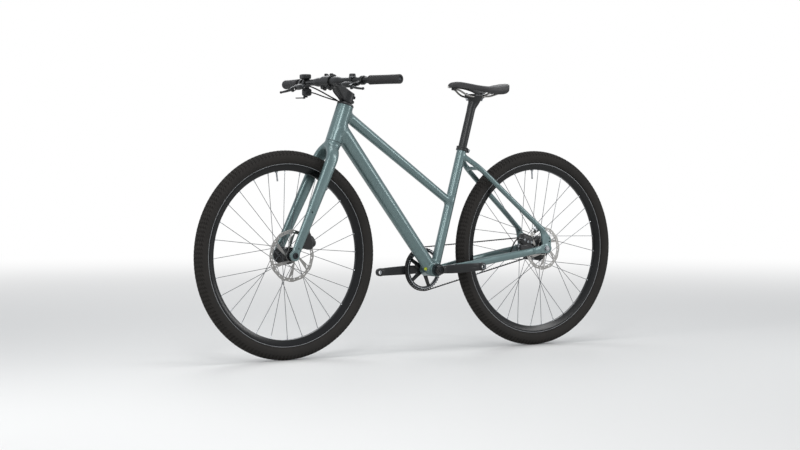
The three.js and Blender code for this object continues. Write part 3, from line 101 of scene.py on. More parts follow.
# The bike's main places, from the same sizes as the part's source
BEAD_SEAT, TYRE_WIDTH = 311, 50
TYRE = BEAD_SEAT + TYRE_WIDTH
HEAD_ANGLE, SEAT_ANGLE = 69, 74
RAKE, FORK_LENGTH = 45, TYRE + 73
HEAD_LENGTH = 136
DROP = 66.5
STAY_RUN = math.sqrt((TYRE + 120) ** 2 - DROP ** 2)
WHEELBASE = STAY_RUN + 259.6 + TYRE
FRONT_AXLE = vec(WHEELBASE / 2, 0, TYRE)
REAR_AXLE = vec(-WHEELBASE / 2, 0, TYRE)
STEER_UP = vec(-cosine(HEAD_ANGLE), 0, sine(HEAD_ANGLE))
STEER_FORWARD = vec(STEER_UP[2], 0, -STEER_UP[0])
CROWN = FRONT_AXLE - RAKE * STEER_FORWARD + FORK_LENGTH * STEER_UP
HEAD_BOTTOM = CROWN + STEER_UP
HEAD_TOP = HEAD_BOTTOM + HEAD_LENGTH * STEER_UP
BRACKET = vec(REAR_AXLE[0] + STAY_RUN, 0, TYRE - DROP)
SEAT_UP = vec(-cosine(SEAT_ANGLE), 0, sine(SEAT_ANGLE))
SEAT_BASE = BRACKET - 14.8 * X
SEAT_TUBE = 459
DOWN_TUBE_AT = 57
BAR_RADIUS, STEERER_RADIUS, POST_RADIUS = 31.8 / 2, 28.6 / 2, 15.45
# The handlebar's bend and sweep, the bore of what clamps on it, and how far its brakes point down
BAR_BEND, BAR_SWEEP, BAR_BORE, BRAKE_LEAN = 105, 12, 11.3, 27
COVER_HEIGHT = 11
RIM_BED, SPOKE_CROSS = BEAD_SEAT - 20, 3
TREAD_PITCHES, TREAD_ROW = 150, 7.2
FRONT_DISC, FRONT_DISC_AT, REAR_DISC, REAR_DISC_AT = 90, 38, 80, 52
CRANK_LENGTH = 170


def seat_point(height):
    return SEAT_BASE + height * SEAT_UP


STEERING = shift(*CROWN) @ turn("Y", HEAD_ANGLE - 90)
BAR_X, BAR_Z = 96, 1 + HEAD_LENGTH + 52
COCKPIT = STEERING @ shift(BAR_X, 0, BAR_Z) @ turn("Y", 90 - HEAD_ANGLE)
MAST = shift(*SEAT_BASE) @ turn("Y", SEAT_ANGLE - 90)
CRANKS = shift(*BRACKET) @ turn("Y", 3)
WHEELS = {"front": shift(*FRONT_AXLE), "rear": shift(*REAR_AXLE)}


def control(lean, side):
    """The frame of a control on the bar, with Y along the grip."""
    left = shift(0, BAR_BEND, 0) @ turn("Z", BAR_SWEEP) @ turn("Y", lean)
    return COCKPIT @ (left if side > 0 else MIRROR @ left)


# Shapes as points and faces
class Shape:
    def __init__(self, points=(), faces=(), slopes=None):
        self.points = [tuple(p) for p in points]
        self.faces = [list(f) for f in faces]
        self.slopes = slopes

    def join(self, *others):
        for other in others:
            start = len(self.points)
            self.points.extend(other.points)
            self.faces.extend([start + i for i in face] for face in other.faces)
        return self

    def moved(self, matrix):
        return Shape(apply(matrix, self.points), self.faces)


def shade(mesh, slopes, sharp):
    """Gives each corner of a face the solid's own slope there, or the face's across a sharp edge."""
    flat = np.zeros(len(mesh.polygons) * 3)
    mesh.polygons.foreach_get("normal", flat)
    spots = np.zeros(len(mesh.loops), np.int32)
    mesh.loops.foreach_get("vertex_index", spots)
    totals = np.zeros(len(mesh.polygons), np.int32)
    mesh.polygons.foreach_get("loop_total", totals)
    own = np.repeat(flat.reshape(-1, 3), totals, axis=0)
    shared = slopes[spots]
    steep = (own * shared).sum(1) < cosine(sharp)
    mesh.normals_split_custom_set(np.where(steep[:, None], own, shared).tolist())


def added(name, data):
    piece = bpy.data.objects.new(name, data)
    bpy.context.scene.collection.objects.link(piece)
    return piece


def place(name, shape, finish, body, slot, *nodes, matrix=None, sharp=35):
    mesh = bpy.data.meshes.new(name)
    matrix = np.eye(4) if matrix is None else matrix
    points = (apply(matrix, shape.points) * MM).tolist()
    if shape.slopes is None:
        mesh.from_pydata(points, [], shape.faces)
        work = bmesh.new()
        work.from_mesh(mesh)
        bmesh.ops.remove_doubles(work, verts=work.verts, dist=1e-6)
        bmesh.ops.recalc_face_normals(work, faces=work.faces)
        work.to_mesh(mesh)
        work.free()
        mesh.shade_smooth()
        mesh.set_sharp_from_angle(angle=math.radians(sharp))
    else:
        mirrored = np.linalg.det(matrix[:3, :3]) < 0
        mesh.from_pydata(points, [], [face[::-1] for face in shape.faces] if mirrored else shape.faces)
        mesh.shade_smooth()
        shade(mesh, shape.slopes @ matrix[:3, :3].T, sharp)
    mesh.materials.append(finish)
    piece = added(name, mesh)
    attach(piece, body)
    if nodes:
        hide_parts(*nodes)
    return piece


def smooth(rows, count):
    """Rows of numbers, the first three a point, drawn out evenly to count rows on a smooth curve."""
    rows = np.array(rows, float)
    steps = np.linalg.norm(np.diff(rows[:, :3], axis=0), axis=1) ** 0.5
    knots = np.concatenate([[0], np.cumsum(steps)])
    slopes = np.gradient(rows, knots, axis=0)
    dense = np.linspace(0, knots[-1], 12 * len(rows) + 1)
    index = np.clip(np.searchsorted(knots, dense, "right") - 1, 0, len(steps) - 1)
    span = (knots[index + 1] - knots[index])[:, None]
    t = ((dense - knots[index]) / span[:, 0])[:, None]
    curve = ((1 + 2 * t) * (1 - t) ** 2 * rows[index] + t * (1 - t) ** 2 * span * slopes[index]
             + t * t * (3 - 2 * t) * rows[index + 1] - t * t * (1 - t) * span * slopes[index + 1])
    along = np.concatenate([[0], np.cumsum(np.linalg.norm(np.diff(curve[:, :3], axis=0), axis=1))])
    even = np.linspace(0, along[-1], count)
    return np.stack([np.interp(even, along, column) for column in curve.T], 1)


def oval(centre, across_a, across_b, half_a, half_b, sides, squareness=2):
    angle = turns(sides)
    c, s = np.cos(angle), np.sin(angle)
    a = np.sign(c) * np.abs(c) ** (2 / squareness) * half_a
    b = np.sign(s) * np.abs(s) ** (2 / squareness) * half_b
    return centre + a[:, None] * across_a + b[:, None] * across_b


def loft(rings, closed=False, caps=True):
    count = len(rings[0])
    faces = []
    spans = len(rings) if closed else len(rings) - 1
    for r in range(spans):
        low, high = r * count, (r + 1) % len(rings) * count
        for i in range(count):
            j = (i + 1) % count
            faces.append([low + i, low + j, high + j, high + i])
    if caps and not closed:
        faces += [list(range(count))[::-1], list(range((len(rings) - 1) * count, len(rings) * count))]
    return Shape(np.concatenate(rings), faces)


def tangents(path):
    along = np.gradient(path, axis=0)
    return along / np.linalg.norm(along, axis=1)[:, None]


def sweep(rows, side, sides=24, squareness=2):
    """Ovals along rows of x, y, z and two half sizes."""
    rows = np.array(rows, float)
    along = tangents(rows[:, :3])
    rings, a = [], np.array(side, float)
    if abs(a @ along[0]) > 0.95:
        a = X if abs(X @ along[0]) < 0.9 else Z
    for row, t in zip(rows, along):
        flat = a - (a @ t) * t
        a = unit(flat) if abs(a @ t) < 0.999 else across(t)[0]
        rings.append(oval(row[:3], a, np.cross(t, a), row[3], row[4], sides, squareness))
    return loft(rings)


def tube(points, radius, count=40):
    rows = smooth([(*p, radius, radius) for p in points], count)
    return sweep(rows, Z, 16)


def rod(start, finish, radius, end_radius=None, sides=32, bevel=0.4):
    start, finish = np.array(start, float), np.array(finish, float)
    length = np.linalg.norm(finish - start)
    end_radius = radius if end_radius is None else end_radius
    bevel = min(bevel, length / 3, radius / 2)
    profile = [(0, 0), (radius - bevel, 0), (radius, bevel), (end_radius, length - bevel),
               (end_radius - bevel, length), (0, length)]
    return turned(profile, sides, start, (finish - start) / length)


def across(axis):
    side = Z if abs(axis @ Z) < 0.9 else X
    a = unit(np.cross(side, axis))
    return a, np.cross(axis, a)


def turned(profile, sides=64, origin=(0, 0, 0), axis=Y):
    """A profile of (radius, place along the axis) turned round an axis. It is a closed loop where its
    last point is its first."""
    a, b = across(np.array(axis, float))
    closed = tuple(profile[0]) == tuple(profile[-1])
    rows = profile[:-1] if closed else profile
    angle = turns(sides)
    circle = np.cos(angle)[:, None] * a + np.sin(angle)[:, None] * b
    rings = [np.array(origin) + r * circle + y * np.array(axis) for r, y in rows]
    return loft(rings, closed, caps=not closed and rows[0][0] > 0)


def rounded(outline, radius, steps=3, closed=True):
    """An outline of two numbers a corner, with each corner rounded."""
    points = [np.array(p, float) for p in outline]
    count = len(points)
    result = []
    for i, here in enumerate(points):
        if not closed and i in (0, count - 1):
            result.append(tuple(here))
            continue
        before, after = points[i - 1] - here, points[(i + 1) % count] - here
        cut = min(radius, 0.45 * np.linalg.norm(before), 0.45 * np.linalg.norm(after))
        if cut < 1e-6:
            result.append(tuple(here))
            continue
        start, finish = here + unit(before) * cut, here + unit(after) * cut
        for step in range(steps + 1):
            t = step / steps
            result.append(tuple((1 - t) ** 2 * start + 2 * t * (1 - t) * here + t * t * finish))
    return result


def ring_profile(inner, outer, low, high, radius=0.8):
    loop = rounded([(inner, low), (outer, low), (outer, high), (inner, high)], radius)
    return loop + [loop[0]]


def inset(outline, amount):
    points = np.array(outline, float)
    area = np.sum(points[:, 0] * np.roll(points[:, 1], -1) - np.roll(points[:, 0], -1) * points[:, 1])
    ahead = np.roll(points, -1, 0) - points
    ahead /= np.linalg.norm(ahead, axis=1)[:, None]
    normal = np.stack([-ahead[:, 1], ahead[:, 0]], 1) * np.sign(area)
    both = normal + np.roll(normal, 1, 0)
    both /= np.maximum((both ** 2).sum(1), 0.5)[:, None] / 2
    return points + both * amount


def slab(outline, low, high, bevel=0.6, holes=()):
    """An outline in X and Z, thick along Y, with bevelled edges and holes."""
    shape = Shape()
    loops = [(np.array(outline, float), 1)] + [(np.array(hole, float), -1) for hole in holes]
    levels = [(low, bevel), (low + bevel, 0), (high - bevel, 0), (high, bevel)]
    for loop, sign in loops:
        rings = []
        for y, amount in levels:
            edge = inset(loop, sign * amount)
            rings.append(np.stack([edge[:, 0], np.full(len(edge), y), edge[:, 1]], 1))
        shape.join(loft(rings, caps=False))
    for y in (low, high):
        edges = [inset(loop, sign * bevel) for loop, sign in loops]
        flat = np.concatenate(edges)
        triangles = tessellate_polygon([[Vector((p[0], p[1], 0)) for p in edge] for edge in edges])
        shape.join(Shape([(p[0], y, p[1]) for p in flat], triangles))
    return shape


def circle(x, z, radius, count=16):
    return [(x + radius * math.cos(q), z + radius * math.sin(q)) for q in turns(count)]


def bolt(origin, axis, radius, height, socket=0.5):
    """A round screw head with a hexagon socket."""
    axis = unit(np.array(axis, float))
    a, b = across(axis)
    angle = turns(24)
    spoke = np.cos(angle)[:, None] * a + np.sin(angle)[:, None] * b
    hexagon = 1 / np.cos((angle + math.pi / 6) % (math.pi / 3) - math.pi / 6)
    rows = [(0, radius), (height - 0.15 * radius, radius), (height, 0.85 * radius)]
    rings = [np.array(origin) + y * axis + r * spoke for y, r in rows]
    flat = socket * radius * hexagon[:, None]
    rings += [np.array(origin) + y * axis + flat * spoke for y in (height, height * 0.35)]
    return loft(rings)


# Soft unions: a solid as its distance from any point, so that welded and moulded pieces flow together
def near(distance, low, high, margin=25.0):
    low, high = np.array(low) - margin, np.array(high) + margin

    def culled(points):
        inside = ((points > low) & (points < high)).all(1)
        result = np.full(len(points), margin)
        if inside.any():
            result[inside] = distance(points[inside])
        return result
    return culled


def capped(side, end, radius):
    side, end = side + radius, end + radius
    outside = np.hypot(np.maximum(side, 0), np.maximum(end, 0))
    return np.minimum(np.maximum(side, end), 0) + outside - radius


def bar(start, finish, radius, end_radius=None, edge=0.8):
    start, finish = np.array(start, float), np.array(finish, float)
    end_radius = radius if end_radius is None else end_radius
    length = np.linalg.norm(finish - start)
    along = (finish - start) / length

    def distance(points):
        rest = points - start
        t = rest @ along
        side = np.linalg.norm(rest - t[:, None] * along, axis=1)
        side -= lerp(radius, end_radius, np.clip(t / length, 0, 1))
        return capped(side, np.abs(t - length / 2) - length / 2, edge)
    reach = max(radius, end_radius)
    return near(distance, np.minimum(start, finish) - reach, np.maximum(start, finish) + reach)


def pin(x, z, low, high, radius, edge=0.8):
    return bar((x, low, z), (x, high, z), radius, edge=edge)


def swept(rows, side, squareness=2.0, count=40):
    """The solid of ovals along rows of x, y, z and two half sizes, as a distance."""
    rows = smooth(rows, count)
    along = tangents(rows[:, :3])
    first = side - (along @ side)[:, None] * along
    first /= np.linalg.norm(first, axis=1)[:, None]
    # Columns: 0 to 4 the row, 5 to 7 the way along, 8 to 10 and 11 to 13 the two ways across
    facts = np.concatenate([rows, along, first, np.cross(along, first)], 1)

    def distance(points):
        best, spot = np.full(len(points), 1e9), np.zeros(len(points))
        for i in range(count - 1):
            step = rows[i + 1, :3] - rows[i, :3]
            rest = points - rows[i, :3]
            t = np.clip(rest @ step / (step @ step), 0, 1)
            far = ((rest - t[:, None] * step) ** 2).sum(1)
            closer = far < best
            best[closer], spot[closer] = far[closer], i + t[closer]
        index = np.minimum(spot.astype(int), count - 2)
        t = (spot - index)[:, None]
        here = (1 - t) * facts[index] + t * facts[index + 1]
        rest = points - here[:, :3]
        a, b = (rest * here[:, 8:11]).sum(1), (rest * here[:, 11:14]).sum(1)
        past = np.abs((rest * here[:, 5:8]).sum(1))
        share = np.abs(a / here[:, 3]) ** squareness + np.abs(b / here[:, 4]) ** squareness
        share = np.maximum(share ** (1 / squareness), 1e-3)
        side_distance = np.hypot(a, b) * (1 - 1 / share)
        end = np.where((spot <= 0) | (spot >= count - 1), past, -20)
        return capped(side_distance, end, 1.0)
    reach = rows[:, 3:5].max(1)[:, None]
    return near(distance, (rows[:, :3] - reach).min(0), (rows[:, :3] + reach).max(0))


def upright(x, y, low, high, radius, edge=0.8):
    return bar((x, y, low), (x, y, high), radius, edge=edge)


def plate(outline, low, high, edge=0.8):
    """An outline in X and Z, thick along Y, as a distance."""
    corners = np.array(outline, float)

    def distance(points):
        flat = points[:, [0, 2]]
        best, wound = np.full(len(flat), 1e9), np.zeros(len(flat), bool)
        for i, a in enumerate(corners):
            b = corners[(i + 1) % len(corners)]
            rest, step = flat - a, b - a
            t = np.clip(rest @ step / (step @ step), 0, 1)
            best = np.minimum(best, ((rest - t[:, None] * step) ** 2).sum(1))
            crosses = (a[1] > flat[:, 1]) != (b[1] > flat[:, 1])
            lean = (b[0] - a[0]) * (flat[:, 1] - a[1]) / (step[1] or 1e-9) + a[0]
            wound ^= crosses & (flat[:, 0] < lean)
        side = np.sqrt(best) * np.where(wound, -1, 1)
        return capped(side, np.abs(points[:, 1] - (low + high) / 2) - (high - low) / 2, edge)
    return near(distance, (*corners.min(0)[:1], low, corners[:, 1].min()),
                (*corners.max(0)[:1], high, corners[:, 1].max()))


def box(low, high, edge=1.0):
    low, high = np.array(low, float), np.array(high, float)

    def distance(points):
        past = np.abs(points - (low + high) / 2) - (high - low) / 2 + edge
        return np.linalg.norm(np.maximum(past, 0), axis=1) + np.minimum(past.max(1), 0) - edge
    return near(distance, low, high)


def either_side(distance, axis=Y):
    """A solid and its mirror image across the axis."""
    return lambda points: distance(points * (1 - axis) + np.abs(points) * axis)


def smaller(a, b, blend):
    if not blend:
        return np.minimum(a, b)
    near_share = np.maximum(blend - np.abs(a - b), 0) / blend
    return np.minimum(a, b) - near_share ** 2 * blend / 4


def merged(first, *others):
    """A solid and others, each with the width over which it flows into those before it."""
    def distance(points):
        total = first(points)
        for other, blend in others:
            total = smaller(total, other(points), blend)
        return total
    return distance


def carved(solid, *tools, blend=0.6):
    def distance(points):
        total = solid(points)
        for tool in tools:
            total = -smaller(-total, tool(points), blend)
        return total
    return distance


def kept(solid, tool, blend=0.6):
    return lambda points: -smaller(-solid(points), -tool(points), blend)


def sampled(distance, low, high, cell):
    """The distance at a grid's corners, in full only near the surface and one value a block elsewhere."""
    blocks = np.ceil((high - low) / (BLOCK * cell)).astype(int)
    grid = np.stack(np.meshgrid(*[np.arange(n) for n in blocks], indexing="ij"), -1).reshape(-1, 3)
    coarse = distance(low + (grid + 0.5) * BLOCK * cell)
    value = coarse.reshape(blocks).astype(np.float32)
    for axis in range(3):
        value = np.repeat(value, BLOCK, axis)
    value = np.pad(value, ((0, 1),) * 3, mode="edge")
    busy = grid[np.abs(coarse) < 5.5 * cell]
    steps = np.stack(np.meshgrid(*[np.arange(BLOCK + 1)] * 3, indexing="ij"), -1).reshape(-1, 3)
    mask = np.zeros(value.shape, bool)
    mask[tuple((busy[:, None] * BLOCK + steps[None]).reshape(-1, 3).T)] = True
    spots = np.argwhere(mask)
    parts = np.array_split(spots, len(spots) // AT_ONCE + 1)
    value[mask] = np.concatenate([distance(low + part * cell) for part in parts])
    return value


def drawn_on(distance, points, cell):
    """Points moved onto the surface, and its slope there."""
    reach = 0.05
    for _ in range(3):
        slope = np.stack([distance(points + reach * a) - distance(points - reach * a)
                          for a in np.eye(3)], 1) / (2 * reach)
        size = np.maximum((slope ** 2).sum(1), 0.05)
        move = np.clip(distance(points) / size, -cell, cell)
        points = points - move[:, None] * slope
    return points, slope / np.maximum(np.linalg.norm(slope, axis=1), 1e-6)[:, None]


def skin(distance, low, high, cell):
    """The surface of a distance as even quads, each corner then drawn onto it."""
    cell *= COARSE
    low, high = np.array(low, float) - 3 * cell, np.array(high, float) + 3 * cell
    value = sampled(distance, low, high, cell)
    inside = value < 0
    cells_shape = [n - 1 for n in value.shape]
    count = np.zeros(cells_shape, np.int8)
    for i, j, k in product((0, 1), repeat=3):
        count += inside[i:i + cells_shape[0], j:j + cells_shape[1], k:k + cells_shape[2]]
    cells = np.argwhere((count > 0) & (count < 8))
    number = np.full(cells_shape, -1)
    number[tuple(cells.T)] = np.arange(len(cells))
    total, hits = np.zeros((len(cells), 3)), np.zeros(len(cells))
    axes = np.eye(3, dtype=int)
    for axis, i, j in product(range(3), (0, 1), (0, 1)):
        start = i * axes[(axis + 1) % 3] + j * axes[(axis + 2) % 3]
        v0 = value[tuple((cells + start).T)]
        v1 = value[tuple((cells + start + axes[axis]).T)]
        crosses = (v0 < 0) != (v1 < 0)
        t = np.where(crosses, v0 / np.where(crosses, v0 - v1, 1), 0)
        total += np.where(crosses[:, None], start + t[:, None] * axes[axis], 0)
        hits += crosses
    points = low + (cells + total / hits[:, None]) * cell
    faces = []
    for axis in range(3):
        u, v = axes[(axis + 1) % 3], axes[(axis + 2) % 3]
        edges = np.argwhere(inside != np.roll(inside, -1, axis))
        corners = [number[tuple((edges - i * u - j * v).T)] for i, j in ((0, 0), (1, 0), (1, 1), (0, 1))]
        quads = np.stack(corners, 1)
        leaving = inside[tuple(edges.T)]
        quads[~leaving] = quads[~leaving, ::-1]
        faces.append(quads)
    points, slope = drawn_on(distance, points, cell)
    faces = np.concatenate(faces)
    return Shape(points, faces.tolist(), evened(slope, faces))


def evened(slopes, quads):
    """Slopes blended with those of the neighbours, except across sharp edges."""
    pairs = np.concatenate([quads[:, [i, (i + 1) % 4]] for i in range(4)])
    for _ in range(4):
        a, b = pairs[(slopes[pairs[:, 0]] * slopes[pairs[:, 1]]).sum(1) > cosine(32)].T
        slopes = np.stack([slopes[:, axis] + np.bincount(a, slopes[b, axis], len(slopes))
                           + np.bincount(b, slopes[a, axis], len(slopes)) for axis in range(3)], 1)
        slopes /= np.maximum(np.linalg.norm(slopes, axis=1), 1e-6)[:, None]
    return slopes


# Finishes
def node(tree, kind, operation=None, **inputs):
    made = tree.nodes.new(kind)
    if operation:
        made.operation = operation
    for key, value in inputs.items():
        made.inputs[key].default_value = value
    return made


def finish(name, dark, light, metallic=0.0, rough=(0.3, 0.4), patch=9.0, grain=700.0, bump=0.1,
           depth=0.0002, cells=False, wear=None, **sockets):
    """A procedural finish: two tones mixed by soft patches and fine grain, uneven roughness, a fine bump,
    and wear of another colour along edges. Scales are counts a metre."""
    material = bpy.data.materials.new(name)
    material.use_nodes = True
    tree = material.node_tree
    link = tree.links.new
    shader = tree.nodes["Principled BSDF"]
    spot = node(tree, "ShaderNodeTexCoord").outputs["Object"]
    soft = node(tree, "ShaderNodeTexNoise", Scale=patch, Detail=4.0, Roughness=0.6)
    if cells:
        fine = node(tree, "ShaderNodeTexVoronoi", Scale=grain)
    else:
        fine = node(tree, "ShaderNodeTexNoise", Scale=grain, Detail=3.0, Roughness=0.65)
    fine_value = fine.outputs["Distance" if cells else "Fac"]
    link(spot, soft.inputs["Vector"])
    link(spot, fine.inputs["Vector"])
    both = node(tree, "ShaderNodeMath", "ADD")
    link(soft.outputs["Fac"], both.inputs[0])
    link(fine_value, both.inputs[1])
    half = node(tree, "ShaderNodeMath", "MULTIPLY")
    half.inputs[1].default_value = 0.5
    link(both.outputs[0], half.inputs[0])
    tones = node(tree, "ShaderNodeValToRGB")
    for i, (position, tone) in enumerate(((0.35, dark), (0.65, light))):
        tones.color_ramp.elements[i].position = position
        tones.color_ramp.elements[i].color = (*linear(tone), 1)
    link(half.outputs[0], tones.inputs["Fac"])
    colour = tones.outputs["Color"]
    if wear:
        edge = node(tree, "ShaderNodeNewGeometry")
        limits = node(tree, "ShaderNodeMapRange", **{"From Min": 0.53, "From Max": 0.6, "To Max": wear[1]})
        link(edge.outputs["Pointiness"], limits.inputs["Value"])
        mix = node(tree, "ShaderNodeMix")
        mix.data_type = "RGBA"
        mix.inputs[7].default_value = (*linear(wear[0]), 1)
        link(limits.outputs["Result"], mix.inputs[0])
        link(colour, mix.inputs[6])
        colour = mix.outputs[2]
    link(colour, shader.inputs["Base Color"])
    spread = node(tree, "ShaderNodeMapRange", **{"To Min": rough[0], "To Max": rough[1]})
    link(half.outputs[0], spread.inputs["Value"])
    link(spread.outputs["Result"], shader.inputs["Roughness"])
    if bump:
        raised = node(tree, "ShaderNodeBump", Strength=bump, Distance=depth)
        link(fine_value, raised.inputs["Height"])
        link(raised.outputs["Normal"], shader.inputs["Normal"])
    shader.inputs["Metallic"].default_value = metallic
    for key, value in sockets.items():
        shader.inputs[key.replace("_", " ")].default_value = value
    return material


def linear(hexed):
    """A colour written as on screen, such as "5d8582", in the shader's own numbers."""
    shares = [int(hexed[i:i + 2], 16) / 255 for i in (0, 2, 4)]
    return [c / 12.92 if c <= 0.04045 else ((c + 0.055) / 1.055) ** 2.4 for c in shares]


# Each: name, darker and lighter tone, metallic, roughness, patches, grain, bump and depth
PAINT = finish("Paint", "5c7172", "637979", 0.5, (0.3, 0.36), 5, 36, 0.0, 0.0,
               Coat_Weight=0.6, Coat_Roughness=0.17)
BLACK = finish("BlackSatin", "0e0f10", "18191a", 0.0, (0.28, 0.4), 14, 1400, 0.08, 0.00006,
               wear=("4c4e50", 0.5), Specular_IOR_Level=0.45)
RIM = finish("RimBlack", "08090a", "0f1011", 0.0, (0.16, 0.26), 10, 1200, 0.04, 0.00004,
             Specular_IOR_Level=0.3)
POLISHED = finish("CutMetal", "a9abae", "c0c2c4", 1.0, (0.18, 0.28), 20, 2200, 0.1, 0.00004)
SILVER = finish("Silver", "85888b", "a0a3a6", 1.0, (0.24, 0.34), 20, 1800, 0.12, 0.00005)
SPOKE = finish("SpokeSteel", "55575a", "6e7073", 1.0, (0.26, 0.36), 25, 2500, 0.1, 0.00003)
STEEL = finish("RotorSteel", "7e7c79", "989693", 1.0, (0.26, 0.4), 30, 2600, 0.18, 0.00004,
               wear=("b9b8b5", 0.6))
DARK_STEEL = finish("DarkSteel", "232527", "343639", 0.8, (0.28, 0.4), 25, 1800, 0.1, 0.00005)
RUBBER = finish("Rubber", "0f0f10", "19191a", 0.0, (0.6, 0.78), 18, 1100, 0.3, 0.0002,
                Specular_IOR_Level=0.35)
GRIP = finish("GripRubber", "1a191a", "262526", 0.0, (0.5, 0.66), 20, 1500, 0.5, 0.0003, cells=True,
              Specular_IOR_Level=0.4)
TREAD = finish("TyreRubber", "191715", "262320", 0.0, (0.66, 0.84), 16, 900, 0.25, 0.0003,
               Specular_IOR_Level=0.3)
PLASTIC = finish("BlackPlastic", "101112", "1a1b1c", 0.0, (0.36, 0.5), 16, 1600, 0.22, 0.0001,
                 Specular_IOR_Level=0.45)
COVER = finish("SaddleCover", "151415", "201f20", 0.0, (0.44, 0.58), 15, 1300, 0.45, 0.00025, cells=True,
               Sheen_Weight=0.1, Sheen_Roughness=0.4, Specular_IOR_Level=0.45)
# Darker, duller rubber in the tread's grooves: painted shade in the recesses
GROOVE_SHADE = finish("TreadGrooveShade", "100e0d", "191715", 0.0, (0.8, 0.95), 16, 900, 0.2, 0.0002,
                Specular_IOR_Level=0.15)
CUP = finish("CupBlack", "141d20", "202c30", 0.3, (0.3, 0.42), 20, 1500, 0.08, 0.00006)
# Pale grey for bands on the saddle's tail and nose: painted highlights on its edges
SADDLE_HIGHLIGHT = finish("PaintedSaddleHighlight", "b4b3af", "c9c8c4", 0.0, (0.35, 0.5), 20, 1200, 0.15, 0.0001)
# Pale grey for the belt's tooth facing, and for a band on each rim lip that is partly the rim's bright edge
# and partly a painted highlight
FACING_AND_RIM_HIGHLIGHT = finish("ToothFacingAndRimHighlight", "8f9194", "aaacaf", 0.0, (0.4, 0.55), 20, 1500, 0.2, 0.0001)
GLASS = finish("BlackGlass", "070809", "0b0c0e", 0.0, (0.04, 0.08), 8, 300, 0.0, Coat_Weight=0.5)
LIME = finish("LimePlastic", "9fac2c", "b6c23a", 0.0, (0.4, 0.52), 20, 900, 0.15, 0.0001)


# Frame: tubes, stays, bridge and dropouts welded into one piece
STAY_START = BRACKET - 7.5 * Z
CHAINSTAY = [[0.03, 0, 0.92], [0.14, 0.09, 0.95], [0.24, 0.26, 1], [0.32, 0.46, 1], [0.55, 0.64, 1.02],
             [0.8, 0.93, 0.98], [0.94, 1, 0.92]]
SEATSTAY = [[0.03, 0], [0.09, 0.22], [0.16, 0.43], [0.25, 0.53], [0.45, 0.64], [0.75, 0.81], [0.965, 1]]
STAY_TOP, STAY_END = seat_point(430), REAR_AXLE + 56 * Z
DROPOUT = 135 / 2 + GAP


def along_stay(start, finish, share, y):
    spot = lerp(start, finish, share)
    return [spot[0], y, spot[2]]


def dropout_outline():
    outline = [(REAR_AXLE[0] + 24 * cosine(q), REAR_AXLE[2] + 18 * sine(q))
               for q in np.linspace(150, 285, 16)]
    foot = lerp(STAY_START, REAR_AXLE, 0.88)
    outline += [(foot[0], foot[2] - 9), (foot[0], foot[2] + 9), (REAR_AXLE[0] + 17, REAR_AXLE[2] + 13.5)]
    rise = unit(STAY_TOP - STAY_END)
    tip = STAY_END + 30 * rise
    for side in (1, -1):
        outline.append((tip[0] + side * 7.6 * rise[2], tip[2] - side * 7.6 * rise[0]))
    outline.append((REAR_AXLE[0] - 21.6, STAY_END[2] - 18.7))
    return rounded(outline, 5)


def add_frame():
    head = bar(HEAD_BOTTOM, HEAD_TOP, 29.5, edge=1.2)
    down = bar(HEAD_BOTTOM + DOWN_TUBE_AT * STEER_UP, BRACKET, 29, 24)
    top = bar(HEAD_BOTTOM + 111 * STEER_UP, seat_point(251), 19, 14.5)
    seat = bar(seat_point(-4), seat_point(SEAT_TUBE), 17.45, edge=0.6)
    shell = pin(BRACKET[0], BRACKET[2], -36.5, 36.5, 24.5)
    chainstay = swept([along_stay(STAY_START, REAR_AXLE, share, lerp(24, 66, out)) + [13.5 * size, 8.5 * size]
                       for share, out, size in CHAINSTAY], Z, 2.3, 48)
    seatstay = swept([along_stay(STAY_TOP, STAY_END, share, lerp(11, DROPOUT + 4, out)) + [9.5, 9.5]
                      for share, out in SEATSTAY], Z, 2, 48)
    ends = plate(dropout_outline(), DROPOUT, DROPOUT + 8, 1.5)
    face = pin(REAR_AXLE[0], REAR_AXLE[2], DROPOUT + 6, DROPOUT + 9, 15, 0.5)
    middle = lerp(STAY_TOP, STAY_END, 0.17)
    bridge = pin(middle[0], middle[2], -2, 33, 7)
    stays = merged(chainstay, (ends, 7), (seatstay, 7), (face, 1), (bridge, 8))
    cuts = [pin(REAR_AXLE[0], REAR_AXLE[2], 50, 90, 5.4, 0)]
    for x, z in ((-13.6, 25), (-12.4, 37)):
        cuts.append(pin(REAR_AXLE[0] + x, REAR_AXLE[2] + z, 60, 90, 2.4, 0))
    rear = either_side(carved(stays, *cuts, blend=0.4))
    solid = merged(head, (down, 9), (top, 12), (seat, 9), (shell, 7), (rear, 8))
    low, high = (REAR_AXLE[0] - 32, -84, 262), (372, 84, 885)
    place("frame_weldment", skin(solid, low, high, 2.0), PAINT, "frame", "paint", "head_tube", "down_tube",
          "top_tube", "seat_tube", "bottom_bracket_shell", "chainstay_left", "chainstay_right",
          "seatstay_left", "seatstay_right", "stay_bridge", sharp=50)


def add_seat_clamp():
    inner, outer, low, high = 17.6, 21.3, SEAT_TUBE - 15, SEAT_TUBE
    ring = upright(0, 0, low, high, outer, 1.5)
    lug = box((-outer - 9, -7.5, low + 0.3), (-inner, 7.5, high - 0.3), 2.5)
    slit = box((-outer - 14, -0.6, low - 4), (-12, 0.6, high + 4), 0)
    hole = upright(0, 0, low - 4, high + 4, inner - 1.8, 0)
    groove = carved(upright(0, 0, low + 5.5, high - 5.5, outer + 2, 0),
                    upright(0, 0, low, high, outer - 0.6, 0))
    solid = carved(merged(ring, (lug, 3)), slit, hole, groove)
    place("seat_clamp_fine", skin(solid, (-35, -23, low - 1), (23, 23, high + 1), 0.7), BLACK, "frame",
          "black_metal", "seat_clamp", matrix=MAST, sharp=45)
    middle = (low + high) / 2
    screw = Shape().join(bolt((-26, 7, middle), Y, 4.2, 4.5), bolt((-26, -7, middle), -Y, 4.2, 3.5, 0.4))
    place("seat_clamp_screw", screw, SILVER, "frame", "silver", matrix=MAST)


